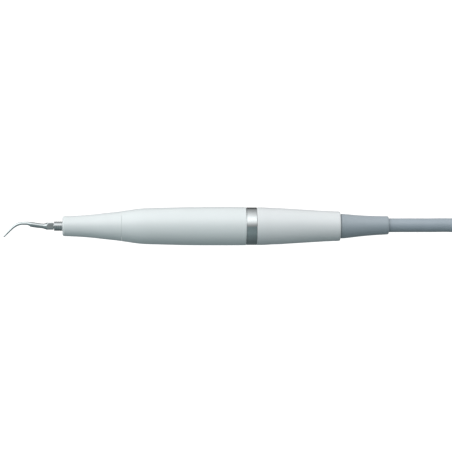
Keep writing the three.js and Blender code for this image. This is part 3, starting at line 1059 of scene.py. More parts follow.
@dataclass(frozen=True)
class LightTent:
    """A light tent: one long softbox above and in front, a grey sky and a dark table below.

    Attributes:
        glow: Light from each direction round the X axis, as degrees and strength. 0 degrees is
            level and in front, 90 is straight up and 180 is level and behind.
        cool: Tint of the light from below.
        ends: Strength of the tent's ends, along X.
        closing: How far along X a direction points where the ends begin and where they are whole.
        lean: How much stronger the light is from the tip's side than straight across.
        backdrop: Strength of the white that the camera sees behind the object.
        peak: The strength that the ramp's white stands for.
    """

    glow: tuple[Pair, ...] = (
        (-180, 0.18),
        (-150, 0.15),
        (-118, 0.13),
        (-88, 0.18),
        (-64, 0.24),
        (-43, 0.31),
        (-6, 0.30),
        (1, 0.36),
        (7, 0.51),
        (13, 0.68),
        (19, 0.95),
        (25, 1.19),
        (32, 1.44),
        (38, 1.61),
        (45, 1.68),
        (52, 1.62),
        (59, 1.47),
        (66, 1.27),
        (73, 1.13),
        (81, 0.99),
        (90, 0.83),
        (99, 0.68),
        (109, 0.58),
        (120, 0.44),
        (134, 0.26),
        (142, 0.12),
        (150, 0.05),
        (160, 0.05),
        (170, 0.12),
        (180, 0.18),
    )
    cool: Colour = (0.82, 1.0, 1.03)
    ends: float = 0.55
    closing: Pair = (0.75, 0.98)
    lean: float = 0.5
    backdrop: float = 1.15
    peak: float = 2.0

    def build(self) -> None:
        """Makes the world's light and sets plain colour handling."""
        world = bpy.data.worlds.new("light tent")
        world.use_nodes = True
        tree = world.node_tree
        tree.nodes.clear()
        heading = tree.nodes.new("ShaderNodeTexCoord").outputs["Generated"]
        split = tree.nodes.new("ShaderNodeSeparateXYZ")
        tree.links.new(heading, split.inputs["Vector"])
        front = self.math(tree, "MULTIPLY", split.outputs["Y"], -1.0)
        angle = self.math(tree, "ARCTAN2", split.outputs["Z"], front)
        share = self.math(tree, "MULTIPLY_ADD", angle, 1 / TURN, 0.5)
        ramp = tree.nodes.new("ShaderNodeValToRGB")
        self.fill(ramp.color_ramp)
        tree.links.new(share, ramp.inputs["Fac"])
        sideways = self.math(tree, "ABSOLUTE", split.outputs["X"])
        closing = tree.nodes.new("ShaderNodeMapRange")
        closing.interpolation_type = "SMOOTHSTEP"
        closing.inputs["From Min"].default_value = self.closing[0]
        closing.inputs["From Max"].default_value = self.closing[1]
        tree.links.new(sideways, closing.inputs["Value"])
        mixed = tree.nodes.new("ShaderNodeMix")
        mixed.data_type = "RGBA"
        end = self.ends / self.peak
        mixed.inputs["B"].default_value = (end, end, end, 1.0)
        tree.links.new(closing.outputs["Result"], mixed.inputs["Factor"])
        tree.links.new(ramp.outputs["Color"], mixed.inputs["A"])
        tent = tree.nodes.new("ShaderNodeBackground")
        strength = self.math(tree, "MULTIPLY_ADD", split.outputs["X"], -self.lean * self.peak, self.peak)
        tree.links.new(strength, tent.inputs["Strength"])
        tree.links.new(mixed.outputs["Result"], tent.inputs["Color"])
        plain = tree.nodes.new("ShaderNodeBackground")
        plain.inputs["Color"].default_value = (1.0, 1.0, 1.0, 1.0)
        plain.inputs["Strength"].default_value = self.backdrop
        choice = tree.nodes.new("ShaderNodeMixShader")
        seen = tree.nodes.new("ShaderNodeLightPath")
        tree.links.new(seen.outputs["Is Camera Ray"], choice.inputs["Fac"])
        tree.links.new(tent.outputs["Background"], choice.inputs[1])
        tree.links.new(plain.outputs["Background"], choice.inputs[2])
        output = tree.nodes.new("ShaderNodeOutputWorld")
        tree.links.new(choice.outputs["Shader"], output.inputs["Surface"])
        bpy.context.scene.world = world
        bpy.context.scene.view_settings.view_transform = "Standard"

    def math(
        self,
        tree: bpy.types.NodeTree,
        operation: str,
        first: bpy.types.NodeSocket,
        *others: bpy.types.NodeSocket | float,
    ) -> bpy.types.NodeSocket:
        """Adds a sum to the world's nodes.

        Args:
            tree: The world's node tree.
            operation: Blender's name of the sum.
            first: The first socket.
            *others: More sockets or plain numbers.

        Returns:
            The socket with the result.
        """
        made = tree.nodes.new("ShaderNodeMath")
        made.operation = operation
        tree.links.new(first, made.inputs[0])
        for index, other in enumerate(others, start=1):
            if isinstance(other, bpy.types.NodeSocket):
                tree.links.new(other, made.inputs[index])
            else:
                made.inputs[index].default_value = other
        return made.outputs["Value"]

    def fill(self, ramp: bpy.types.ColorRamp) -> None:
        """Writes the glow into a colour ramp that goes once round the X axis.

        Args:
            ramp: The ramp to fill.
        """
        while len(ramp.elements) > 1:
            ramp.elements.remove(ramp.elements[-1])
        for index, (degrees, strength) in enumerate(self.glow):
            place = degrees / 360 + 0.5
            stop = ramp.elements[0] if index == 0 else ramp.elements.new(place)
            stop.position = place
            level = strength / self.peak
            tint = self.cool if degrees < 0 else (1.0, 1.0, 1.0)
            stop.color = (*(level * part for part in tint), 1.0)


@dataclass(frozen=True)
class Table:
    """The plain white table, which shows only to the camera and takes a faint soft shadow.

    Attributes:
        half: Half its width.
        own_light: How white it is by itself.
        white: How much of the tent's light it returns.
    """

    half: float = 6000.0
    own_light: float = 0.84
    white: float = 0.4

    def build(self, datum: Datum) -> None:
        """Makes the table.

        Args:
            datum: The table's datum.
        """
        corners = ((-1, -1), (1, -1), (1, 1), (-1, 1))
        points = datum.place(np.array([(x * self.half, y * self.half, 0.0) for x, y in corners]))
        top = new_piece("table_top", points, [(0, 1, 2, 3)])
        board = Board("table white")
        grain = board.noise(4.0, detail=2.0)
        board.shades(grain, (self.white * 0.99,) * 3, (self.white,) * 3)
        board.settle(Roughness=1.0, Specular_IOR_Level=0.0, Emission_Strength=self.own_light)
        board.shader.inputs["Emission Color"].default_value = (1.0, 1.0, 1.0, 1.0)
        top.data.materials.append(board.material)
        top.visible_diffuse = False
        top.visible_glossy = False
        top.visible_transmission = False
        top.visible_shadow = False
        top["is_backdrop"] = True


# ---- Cord --------------------------------------------------------------------------------------


def cord_rise(x: float | np.ndarray) -> np.ndarray:
    """How far the boot and the cord lie above the handpiece's axis.

    Args:
        x: Stations along the axis.

    Returns:
        The rise at each station.
    """
    share = np.clip((np.asarray(x) - RISE_FROM) / (RISE_TO - RISE_FROM), 0, 1)
    return CORD_RISE * share**2 * (3 - 2 * share)


@dataclass
class TiedCord:
    """The cord: out of the boot, along the table, folded into a tied hank, and into the plug.

    Attributes:
        radius: The cord's radius.
        length: Its real length from the boot to the plug; not used.
        axis_z: Height of the handpiece's axis.
        level: Stations from inside the boot to where it starts to come down.
        lead: Its route from there to the hank.
        near_fold: Station of the hank's near fold centre.
        straight: Length of the hank's straight runs.
        middle: Sideways place of the hank's middle line.
        lanes: Half widths of the hank's outer and inner lanes.
        layers: Heights of its three layers.
        loops: How many times it goes round.
        changes: The shares of each loop in which it passes to the next lane.
        plug_y: Sideways place of the plug's axis.
        plug_z: Height of the plug's axis.
        plug_rear: Station of the rear end of the plug's boot.
        tail_bend: Radius of the last bend before the plug.
        plug_depth: How far the cord reaches into the plug.
        step: Distance from point to point.
    """

    radius: float = 3.6
    length: float = 2000.0
    axis_z: float = 10.0
    level: tuple[float, ...] = (71.2, 78, 84, 90, 96, 102, 108, 122, 134)
    lead: tuple[Place, ...] = (
        (143, -0.75, 9.55),
        (151, -2.5, 7.5),
        (158, -4.1, 5.67),
        (165.2, -4.96, 4.74),
        (176, -5, 4.7),
    )
    near_fold: float = 186.0
    straight: float = 87.0
    middle: float = 23.8
    lanes: Pair = (28.8, 21.6)
    layers: Place = (4.7, 11.9, 19.1)
    loops: float = 5.5
    changes: tuple[Pair, ...] = ((0.85, 0.95), (0.78, 0.88), (0.71, 0.81), (0.63, 0.73), (0.55, 0.65))
    plug_y: float = 30.8
    plug_z: float = 8.0
    plug_rear: float = 238.7
    tail_bend: float = 26.0
    plug_depth: float = 11.7
    step: float = 3.0

    def lane(self, loops: float) -> Pair:
        """The lane's half width and height after so many loops.

        Args:
            loops: Loops since the hank's start.

        Returns:
            Half width and height.
        """
        outer, inner = self.lanes
        cells = [(outer, z) for z in self.layers] + [(inner, z) for z in reversed(self.layers)]
        count = int(loops)
        here = np.array(cells[count])
        if count < len(self.changes):
            low, high = self.changes[count]
            share = min(1.0, max(0.0, (loops - count - low) / (high - low)))
            share = share * share * (3 - 2 * share)
            here = here + (np.array(cells[count + 1]) - here) * share
        return float(here[0]), float(here[1])

    def hank_point(self, loops: float) -> Place:
        """A point of the hank.

        Args:
            loops: Loops since the hank's start.

        Returns:
            The point, in the table datum's millimetres.
        """
        half, z = self.lane(loops)
        fold = math.pi * sum(self.lanes) / 2
        run = self.straight / (self.straight + fold) / 2
        phase = loops % 0.5
        far = loops % 1 < 0.5
        way = 1 if far else -1
        if phase < run:
            along = phase / run * self.straight
            x = self.near_fold + (along if far else self.straight - along)
            return x, self.middle - way * half, z
        angle = (phase - run) / (0.5 - run) * math.pi
        centre = self.near_fold + (self.straight if far else 0)
        return centre + way * half * math.sin(angle), self.middle - way * half * math.cos(angle), z

    def tail(self) -> list[Place]:
        """The route from the far fold's end through two bends into the plug's boot.

        Returns:
            The route's points.
        """
        inner = self.lanes[1]
        far = self.near_fold + self.straight
        drop = self.middle + inner - self.plug_y
        sweep = 2 * math.atan2(drop, far - self.plug_rear)
        first = [
            (far - inner * math.sin(a), self.middle + inner * math.cos(a)) for a in np.linspace(0, sweep, 7)
        ]
        bend = self.tail_bend
        second = [
            (self.plug_rear + bend * math.sin(a), self.plug_y + bend - bend * math.cos(a))
            for a in np.linspace(sweep, 0, 8)[1:]
        ]
        points = []
        for x, y in first + second:
            share = (far - x) / (far - self.plug_rear)
            rise = share * share * (3 - 2 * share)
            points.append((x, y, self.layers[0] + (self.plug_z - self.layers[0]) * rise))
        for depth in (6.0, self.plug_depth):
            points.append((self.plug_rear - depth, self.plug_y, self.plug_z))
        return points

    def route(self) -> np.ndarray:
        """The whole centreline, evenly stepped, in the table datum's millimetres.

        Returns:
            The centreline's points.
        """
        turns = [self.hank_point(t) for t in np.arange(0, self.loops - 1e-6, 1 / 64)]
        level = [(x, 0.0, self.axis_z + float(cord_rise(x))) for x in self.level]
        knots = np.array([*level, *self.lead, *turns, *self.tail()])
        padded = np.vstack([2 * knots[0] - knots[1], knots, 2 * knots[-1] - knots[-2]])
        shares = np.linspace(0, 1, 8, endpoint=False)[:, None]
        parts = []
        for a, b, c, d in zip(padded, padded[1:], padded[2:], padded[3:]):
            gap = np.linalg.norm(c - b)
            start = (c - a) / max(np.linalg.norm(c - a), 1e-9) * gap
            end = (d - b) / max(np.linalg.norm(d - b), 1e-9) * gap
            square, cube = shares**2, shares**3
            leaving = (2 * cube - 3 * square + 1) * b + (cube - 2 * square + shares) * start
            parts.append(leaving + (3 * square - 2 * cube) * c + (cube - square) * end)
        line = np.vstack([*parts, knots[-1:]])
        run = np.append(0, np.cumsum(np.linalg.norm(np.diff(line, axis=0), axis=1)))
        even = np.linspace(0, run[-1], int(run[-1] / self.step) + 1)
        return np.stack([np.interp(even, run, line[:, axis]) for axis in range(3)], axis=1)

    def build(self, datum: Datum) -> bpy.types.Object:
        """Makes the cord as one curve.

        Args:
            datum: The table's datum.

        Returns:
            The curve object.
        """
        points = datum.place(self.route())
        curve = bpy.data.curves.new("cord_line", "CURVE")
        curve.dimensions = "3D"
        curve.bevel_depth = self.radius * MM
        curve.bevel_resolution = 6
        curve.use_fill_caps = True
        spline = curve.splines.new("POLY")
        spline.points.add(len(points) - 1)
        spline.points.foreach_set("co", np.hstack([points, np.ones((len(points), 1))]).ravel())
        spline.use_smooth = True
        cord = bpy.data.objects.new("cord", curve)
        bpy.context.scene.collection.objects.link(cord)
        return dress(cord, Body.CORD_SET, CORD_SKIN, ["cord_lead", "cord_hank", "cord_tail"])


@dataclass(frozen=True)
class HankTie:
    """A woven strap round one run of the hank, with its end pressed down on itself.

    Attributes:
        node: The frame node that it stands for.
        thick: The strap's thickness.
        corner: Radius of its inner line at the bundle's corners.
        lap: How far its end runs over its start.
        edge: Rounding of its edges.
    """

    node: str
    thick: float = 0.8
    corner: float = 1.3
    lap: float = 9.0
    edge: float = 0.25

    def loop(self, half_y: float, low: float, high: float) -> np.ndarray:
        """The strap's inner line once round, from the middle of its top.

        Args:
            half_y: Half the bundle's width.
            low: Height of its underside.
            high: Height of its top.

        Returns:
            Points as sideways place and height.
        """
        points = [(0.0, high)]
        for y, z, start in (
            (-half_y + self.corner, high - self.corner, 90),
            (-half_y + self.corner, low + self.corner, 180),
            (half_y - self.corner, low + self.corner, 270),
            (half_y - self.corner, high - self.corner, 360),
        ):
            for angle in np.radians(np.linspace(start, start + 90, 9)):
                points.append((y + self.corner * math.cos(angle), z + self.corner * math.sin(angle)))
        points.append((0.0, high))
        line = np.array(points)
        run = np.append(0, np.cumsum(np.linalg.norm(np.diff(line, axis=0), axis=1)))
        even = np.linspace(0, run[-1], 200)
        return np.stack([np.interp(even, run, line[:, axis]) for axis in range(2)], axis=1)

    def make(self) -> bpy.types.Object:
        """Builds and dresses the strap, in the box of its node.

        Returns:
            The piece.
        """
        low, high = (np.array(corner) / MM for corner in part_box(self.node))
        half_y = (high[1] - low[1]) / 2 - self.thick
        line = self.loop(half_y, low[2] + self.thick, high[2] - self.thick)
        count = int(len(line) * self.lap / np.linalg.norm(np.diff(line, axis=0), axis=1).sum())
        line = np.vstack([line, line[1 : count + 1]])
        ahead = np.gradient(line, axis=0)
        ahead /= np.linalg.norm(ahead, axis=1)[:, None]
        outwards = np.stack([ahead[:, 1], -ahead[:, 0]], axis=1) * -1
        outwards *= np.sign((outwards[0] * np.array([0, 1])).sum())
        lift = np.clip((np.arange(len(line)) - (len(line) - count - 8)) / 8.0, 0, 1) * (self.thick * 1.04)
        wide, e, t = high[0] - low[0], self.edge, self.thick
        section = [
            (0, e), (e * 0.3, e * 0.3), (e, 0), (wide - e, 0), (wide - e * 0.3, e * 0.3), (wide, e),
            (wide, t - e), (wide - e * 0.3, t - e * 0.3), (wide - e, t), (e, t),
            (e * 0.3, t - e * 0.3), (0, t - e),
        ]
        points = []
        for place, out, up in zip(line, outwards, lift):
            for x, depth in section:
                y, z = place + out * (depth + up)
                points.append((low[0] + x, (low[1] + high[1]) / 2 + y, z))
        sides = len(section)
        caps: Faces = [tuple(range(sides)), tuple(len(points) - 1 - i for i in range(sides))]
        faces = caps + skin(len(line), sides)
        piece = new_piece(f"{self.node}_look", np.array(points) * MM, faces, crease_deg=60.0)
        return dress(piece, Body.CORD_SET, STRAP_WEAVE, [self.node])


# ---- Tip and transducer ------------------------------------------------------------------------


@dataclass
class ScalerTip:
    """The curved steel tip: working end, shank with its water step, wrench flats and threaded stem.

    Attributes:
        stations: Station, height, half height above, half height below and half width.
        flats_front: Where the four wrench flats start.
        flats_rear: Where they end.
        apothem: Half the width across the flats.
        corner: Radius that the flats' corners are turned to.
        stem_radius: Radius of the threaded stem.
        sides: Sides of the section.
        step: Distance from ring to ring.
    """

    stations: tuple[tuple[float, float, float, float, float], ...] = (
        (-100.5, -5.45, 0.36, 0.34, 0.28),
        (-99.0, -3.85, 0.52, 0.48, 0.38),
        (-97.2, -2.05, 0.7, 0.5, 0.5),
        (-95.1, -0.2, 0.83, 0.55, 0.58),
        (-93.2, 0.86, 0.88, 0.6, 0.66),
        (-91.1, 1.33, 0.9, 0.64, 0.74),
        (-88.7, 1.37, 0.94, 0.74, 0.86),
        (-87.7, 1.25, 1.02, 0.84, 1.0),
        (-87.2, 1.14, 1.1, 0.98, 1.1),
        (-86.5, 0.95, 1.22, 1.24, 1.22),
        (-86.0, 0.86, 1.27, 1.27, 1.25),
        (-83.9, 0.53, 1.27, 1.27, 1.25),
        (-81.3, 0.2, 1.22, 1.22, 1.22),
        (-80.3, 0.1, 1.26, 1.26, 1.26),
        (-79.2, 0.0, 1.5, 1.5, 1.5),
        (-78.3, 0.0, 1.86, 1.86, 1.86),
        (-77.8, 0.0, 2.24, 2.24, 2.24),
        (-77.5, 0.0, 2.34, 2.34, 2.34),
        (-77.3, 0.0, 2.35, 2.35, 2.35),
    )
    flats_front: float = -78.8
    flats_rear: float = -74.8
    apothem: float = 1.83
    corner: float = 2.35
    stem_radius: float = 1.2
    sides: int = 64
    step: float = 0.12

    def rings(self) -> np.ndarray:
        """The sections along the tip, evenly stepped, from the point to the flats.

        Returns:
            One row for each section: station, height and the three half sizes.
        """
        table = np.array(self.stations)
        run = np.append(0, np.cumsum(np.linalg.norm(np.diff(table[:, :2], axis=0), axis=1)))
        at = np.linspace(0, run[-1], int(run[-1] / self.step))
        return np.stack([flow(run, table[:, column], at) for column in range(5)], axis=1)

    def make(self, datum: Datum) -> bpy.types.Object:
        """Builds and dresses the tip.

        Args:
            datum: The handpiece's datum.

        Returns:
            The piece.
        """
        turn = np.linspace(0, TURN, self.sides, endpoint=False)
        rows = self.working_end(turn) + self.stem(turn)
        points = self.with_flats(np.vstack(rows))
        faces = skin(len(rows), self.sides)
        piece = new_piece("scaler_tip_look", datum.place(points), faces, crease_deg=24.0)
        Drill(-88.4, -83.5, 0.34, z=0.02).cut(piece, datum)
        return dress(piece, Body.TIP, TIP_STEEL, ["scaler_tip"])

    def working_end(self, turn: np.ndarray) -> list[np.ndarray]:
        """The rows of points from the blunt point to the flats.

        Args:
            turn: Angles round the section.

        Returns:
            The rows.
        """
        rings = self.rings()
        centres = rings[:, :2]
        ahead = np.gradient(centres, axis=0)
        ahead /= np.linalg.norm(ahead, axis=1)[:, None]
        upwards = np.stack([-ahead[:, 1], ahead[:, 0]], axis=1)
        rows = []
        for share in (0.0, 0.12, 0.3, 0.6):
            shrink = math.sqrt(1 - (1 - share) ** 2)
            centre = centres[0] - ahead[0] * rings[0, 2] * (1 - share) * 0.9
            rows.append(self.section(centre, upwards[0], rings[0] * shrink, turn))
        for ring, centre, up in zip(rings, centres, upwards):
            rows.append(self.section(centre, up, ring, turn))
        return rows

    def stem(self, turn: np.ndarray) -> list[np.ndarray]:
        """The rows of points from the flats' rear to the end of the threaded stem.

        Args:
            turn: Angles round the section.

        Returns:
            The rows.
        """
        rear = self.flats_rear
        outline = [
            (rear - 0.2, self.corner), (rear - 0.06, self.corner - 0.06), (rear, self.corner - 0.2),
            (rear, self.stem_radius),
            *[(rear + 0.3 + 0.05 * index, self.stem_radius) for index in range(96)],
            (-69.7, 1.05), (-69.5, 0.6), (-69.5, 0.0),
        ]
        thread = Thread(rear + 0.4, -69.6, 0.6, 0.12)
        rows = []
        for x, r in outline:
            radius = thread.radius(np.array([[x]]), np.array([[r]]), turn[None, :])[0]
            rows.append(np.stack([x + 0 * turn, radius * np.cos(turn), radius * np.sin(turn)], axis=1))
        return rows

    def with_flats(self, points: np.ndarray) -> np.ndarray:
        """Cuts the wrench flats by drawing points in towards the axis.

        Args:
            points: The tip's points.

        Returns:
            The points with the flats.
        """
        flats = Flats(self.flats_front, self.flats_rear + 0.01, 4, self.apothem)
        radius = np.linalg.norm(points[:, 1:], axis=1)
        angle = np.arctan2(points[:, 2], points[:, 1])
        limited = flats.radius(points[:, 0], radius, angle)
        cut = (points[:, 0] > self.flats_front) & (radius > 1e-9)
        scale = np.where(cut, limited / np.maximum(radius, 1e-9), 1.0)
        return points * np.stack([np.ones(len(points)), scale, scale], axis=1)

    def section(self, centre: np.ndarray, up: np.ndarray, ring: np.ndarray, turn: np.ndarray) -> np.ndarray:
        """One section of the tip, taller above or below its centre line where the ring says so.

        Args:
            centre: Station and height of its centre.
            up: The section's upward direction, in station and height.
            ring: The ring's row, whose last three numbers are its half sizes.
            turn: Angles round the section.

        Returns:
            The section's points.
        """
        height = np.where(np.sin(turn) >= 0, ring[2], ring[3]) * np.sin(turn)
        x, z = centre[0] + up[0] * height, centre[1] + up[1] * height
        return np.stack([x, ring[4] * np.cos(turn), z], axis=1)


@dataclass
class Transducer:
    """The vibrating stack: horn, ceramic rings, contact washers, rear mass and bolt.

    Attributes:
        horn_front: Where the horn starts.
        horn_radius: Its radius at the front.
        grooves: How many fine grooves it has.
        groove_pitch: From groove to groove.
        groove_depth: How deep they are.
    """

    horn_front: float = -74.5
    horn_radius: float = 2.42
    grooves: int = 4
    groove_pitch: float = 1.05
    groove_depth: float = 0.05

    def horn(self) -> list[Corner]:
        """The horn's outline.

        Returns:
            The outline's corners.
        """
        corners: list[Corner] = [(self.horn_front, self.horn_radius, 0.3)]
        for index in range(self.grooves):
            x = self.horn_front + 0.75 + self.groove_pitch * index
            corners += [
                (x - 0.15, self.horn_radius, 0.05),
                (x - 0.08, self.horn_radius - self.groove_depth, 0.03),
                (x + 0.08, self.horn_radius - self.groove_depth, 0.03),
                (x + 0.15, self.horn_radius, 0.05),
            ]
        corners += flowing([(-64.5, 2.42), (-60, 2.5), (-56, 2.8), (-52, 3.3), (-48, 4)], 8)
        corners += [
            (-31, 4, 0.2), (-31, 6.4, 0.2), (-29.4, 6.4, 0.2), (-29.4, 4.9, 0.1), (-24, 4.9, 0.2),
            (-24, 2.35, 0.1), (-32.2, 2.35, 0), (-32.2, 0.6, 0), (-68.3, 0.6, 0),
            (-68.3, 1.5, 0), (self.horn_front, 1.5, 0.1),
        ]
        return corners

    def build(self, datum: Datum) -> None:
        """Builds and dresses the horn, the ceramic rings, the rear mass and the bolt's insulator.

        Args:
            datum: The handpiece's datum.
        """
        Turning("horn", Body.TRANSDUCER, HORN_METAL, self.horn(), facets=72).make(datum)
        for index in range(1, 5):
            self.ring(datum, f"piezo_ring_{index}")
        mass = self.like("rear_mass", datum, 2.4, 0.25)
        Turning("rear_mass", Body.TRANSDUCER, INNER_STEEL, mass).make(datum)
        sleeve = self.like("bolt_insulator", datum, 2.3, 0.05)
        Turning("bolt_insulator", Body.TRANSDUCER, PEEK, sleeve, facets=40).make(datum)

    def ring(self, datum: Datum, node: str) -> None:
        """Builds and dresses one ceramic ring."""
        Turning(node, Body.TRANSDUCER, PIEZO, self.like(node, datum, 2.9, 0.12)).make(datum)

    def like(self, node: str, datum: Datum, bore: float, fillet: float) -> list[Corner]:
        """The outline of a tube as long and thick as a frame node.

        Args:
            node: The frame node.
            datum: The handpiece's datum.
            bore: The tube's bore radius.
            fillet: Rounding of its edges.

        Returns:
            The outline.
        """
        low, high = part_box(node)
        start, end = (float(corner.x - datum.origin.x) / MM for corner in (low, high))
        return tube(start, end, bore, float(high.z - low.z) / 2 / MM, fillet)


# ---- Handpiece ---------------------------------------------------------------------------------


@dataclass
class NoseCone:
    """The white nose cone that unscrews, with its threaded spigot and its seal.

    Attributes:
        front: Where it starts.
        seam: Its shoulder at the body.
        spigot: Radius of its threaded spigot.
        pitch: The thread's pitch.
    """

    front: float = -70.1
    seam: float = -39.36
    spigot: float = 5.4
    pitch: float = 0.75

    def corners(self) -> list[Corner]:
        """The nose cone's outline.

        Returns:
            The outline's corners.
        """
        side = flowing(
            [
                (-68.9, 5.19), (-64.6, 5.37), (-60.8, 5.56), (-54.5, 6.06), (-48.3, 6.76), (-42.0, 7.44),
                (-39.65, 7.74),
            ],
            7,
        )
        thread = [(x, self.spigot, 0.0) for x in np.arange(self.seam + 2.2, -33.3, 0.07)]
        return [
            (self.front, 4.5, 0.55),
            (self.front + 0.45, 5.12, 0.5),
            *side,
            (self.seam, 7.79, 0.14),
            (self.seam, self.spigot, 0.1),
            *thread,
            (-33.2, self.spigot, 0.2),
            (-33.2, 4.5, 0.1),
            (-51, 4.5, 0),
            (-66, 2.75, 0),
            (self.front, 2.75, 0.35),
        ]

    def build(self, datum: Datum) -> None:
        """Builds and dresses the nose cone and its seal.

        Args:
            datum: The handpiece's datum.
        """
        thread = Thread(self.seam + 2.2, -33.2, self.pitch, 0.28, outer_from=self.spigot - 0.05)
        Turning("nose_cone", Body.NOSE, WHITE_SHELL, self.corners(), facets=128, relief=thread).make(datum)
        ring = seal_ring(-38.45, 6.2, 0.45)
        Turning("nose_o_ring", Body.NOSE_SEAL, SEAL_RUBBER, ring).make(datum)


@dataclass
class Handle:
    """The handpiece's body, its polished ring and the socket inside it.

    Attributes:
        seam: Where the body starts, at the nose cone.
        ring_front: Where the polished ring starts.
        ring_rear: Where it ends.
        ring_radius: Its radius.
        contact_side: How far each socket contact is off the axis.
    """

    seam: float = BODY_FRONT
    ring_front: float = 25.55
    ring_rear: float = 31.0
    ring_radius: float = 9.8
    contact_side: float = 4.7

    def shell(self) -> list[Corner]:
        """The body's outline.

        Returns:
            The outline's corners.
        """
        side = flowing(
            [
                (-39.1, 7.84), (-35.8, 8.32), (-32.6, 8.8), (-29.5, 9.17), (-26.4, 9.37), (-20.1, 9.54),
                (-13.9, 9.7), (-4.5, 9.9), (5, 9.98), (14, 10), (20, 9.98), (25.2, 9.92),
            ],
            8,
        )
        return [
            (self.seam, 7.8, 0.03),
            *side,
            (self.ring_front, 9.88, 0.2),
            (self.ring_front, 7.9, 0.1),
            (-30.6, 7.9, 0),
            (-32.4, 6.9, 0),
            (self.seam, 7, 0.15),
        ]

    def ring(self) -> list[Corner]:
        """The polished ring's outline, with its sleeve inside the body.

        Returns:
            The outline's corners.
        """
        front = self.ring_front + 0.25
        return [
            (15.3, 7.6, 0.1), (front, 7.6, 0), (front, self.ring_radius, 0.12),
            (self.ring_rear, self.ring_radius, 0.12), (self.ring_rear, 7.1, 0.35), (15.3, 7.1, 0.1),
        ]

    def socket(self, datum: Datum) -> None:
        """Builds and dresses the socket inside the ring.

        Args:
            datum: The handpiece's datum.
        """
        side = self.contact_side
        drills = (Drill(8, 16, 3.05), Drill(8, 16, 1.4, y=side), Drill(8, 16, 1.4, y=-side))
        block = rod(8.5, 15, 7.5, 0.25)
        Turning("socket_block", Body.HANDPIECE, BLACK_PLASTIC, block, facets=96, drills=drills).make(datum)
        contact = [
            (6.5, 0, 0), (6.5, 0.4, 0.1), (8, 0.4, 0), (8, 1.05, 0.1), (15, 1.05, 0.12), (15, 0.75, 0.12),
            (9.4, 0.75, 0), (9.4, 0, 0),
        ]
        for index, place in ((1, -side), (2, side)):
            name = f"socket_contact_{index}"
            Turning(name, Body.HANDPIECE, CONTACT_GOLD, contact, facets=32, shift=(place, 0)).make(datum)
        water = [
            (6, 1.1, 0.1), (8.9, 1.1, 0), (8.9, 2.75, 0.1), (15, 2.75, 0.15), (15, 2.35, 0.15),
            (9.4, 2.35, 0), (9.4, 0.6, 0), (6, 0.6, 0),
        ]
        Turning("water_socket", Body.HANDPIECE, INNER_STEEL, water, facets=48).make(datum)

    def build(self, datum: Datum) -> None:
        """Builds and dresses the body, the ring and the socket.

        Args:
            datum: The handpiece's datum.
        """
        Turning("body_shell", Body.HANDPIECE, WHITE_SHELL, self.shell(), facets=144).make(datum)
        Turning("rear_ring", Body.HANDPIECE, RING_STEEL, self.ring(), facets=144).make(datum)
        bush = tube(-37.6, -32.8, 5.75, 6.6, 0.15)
        Turning("nose_bush", Body.HANDPIECE, CONTACT_GOLD, bush).make(datum)
        self.socket(datum)


# ---- Cord connector and plug -------------------------------------------------------------------


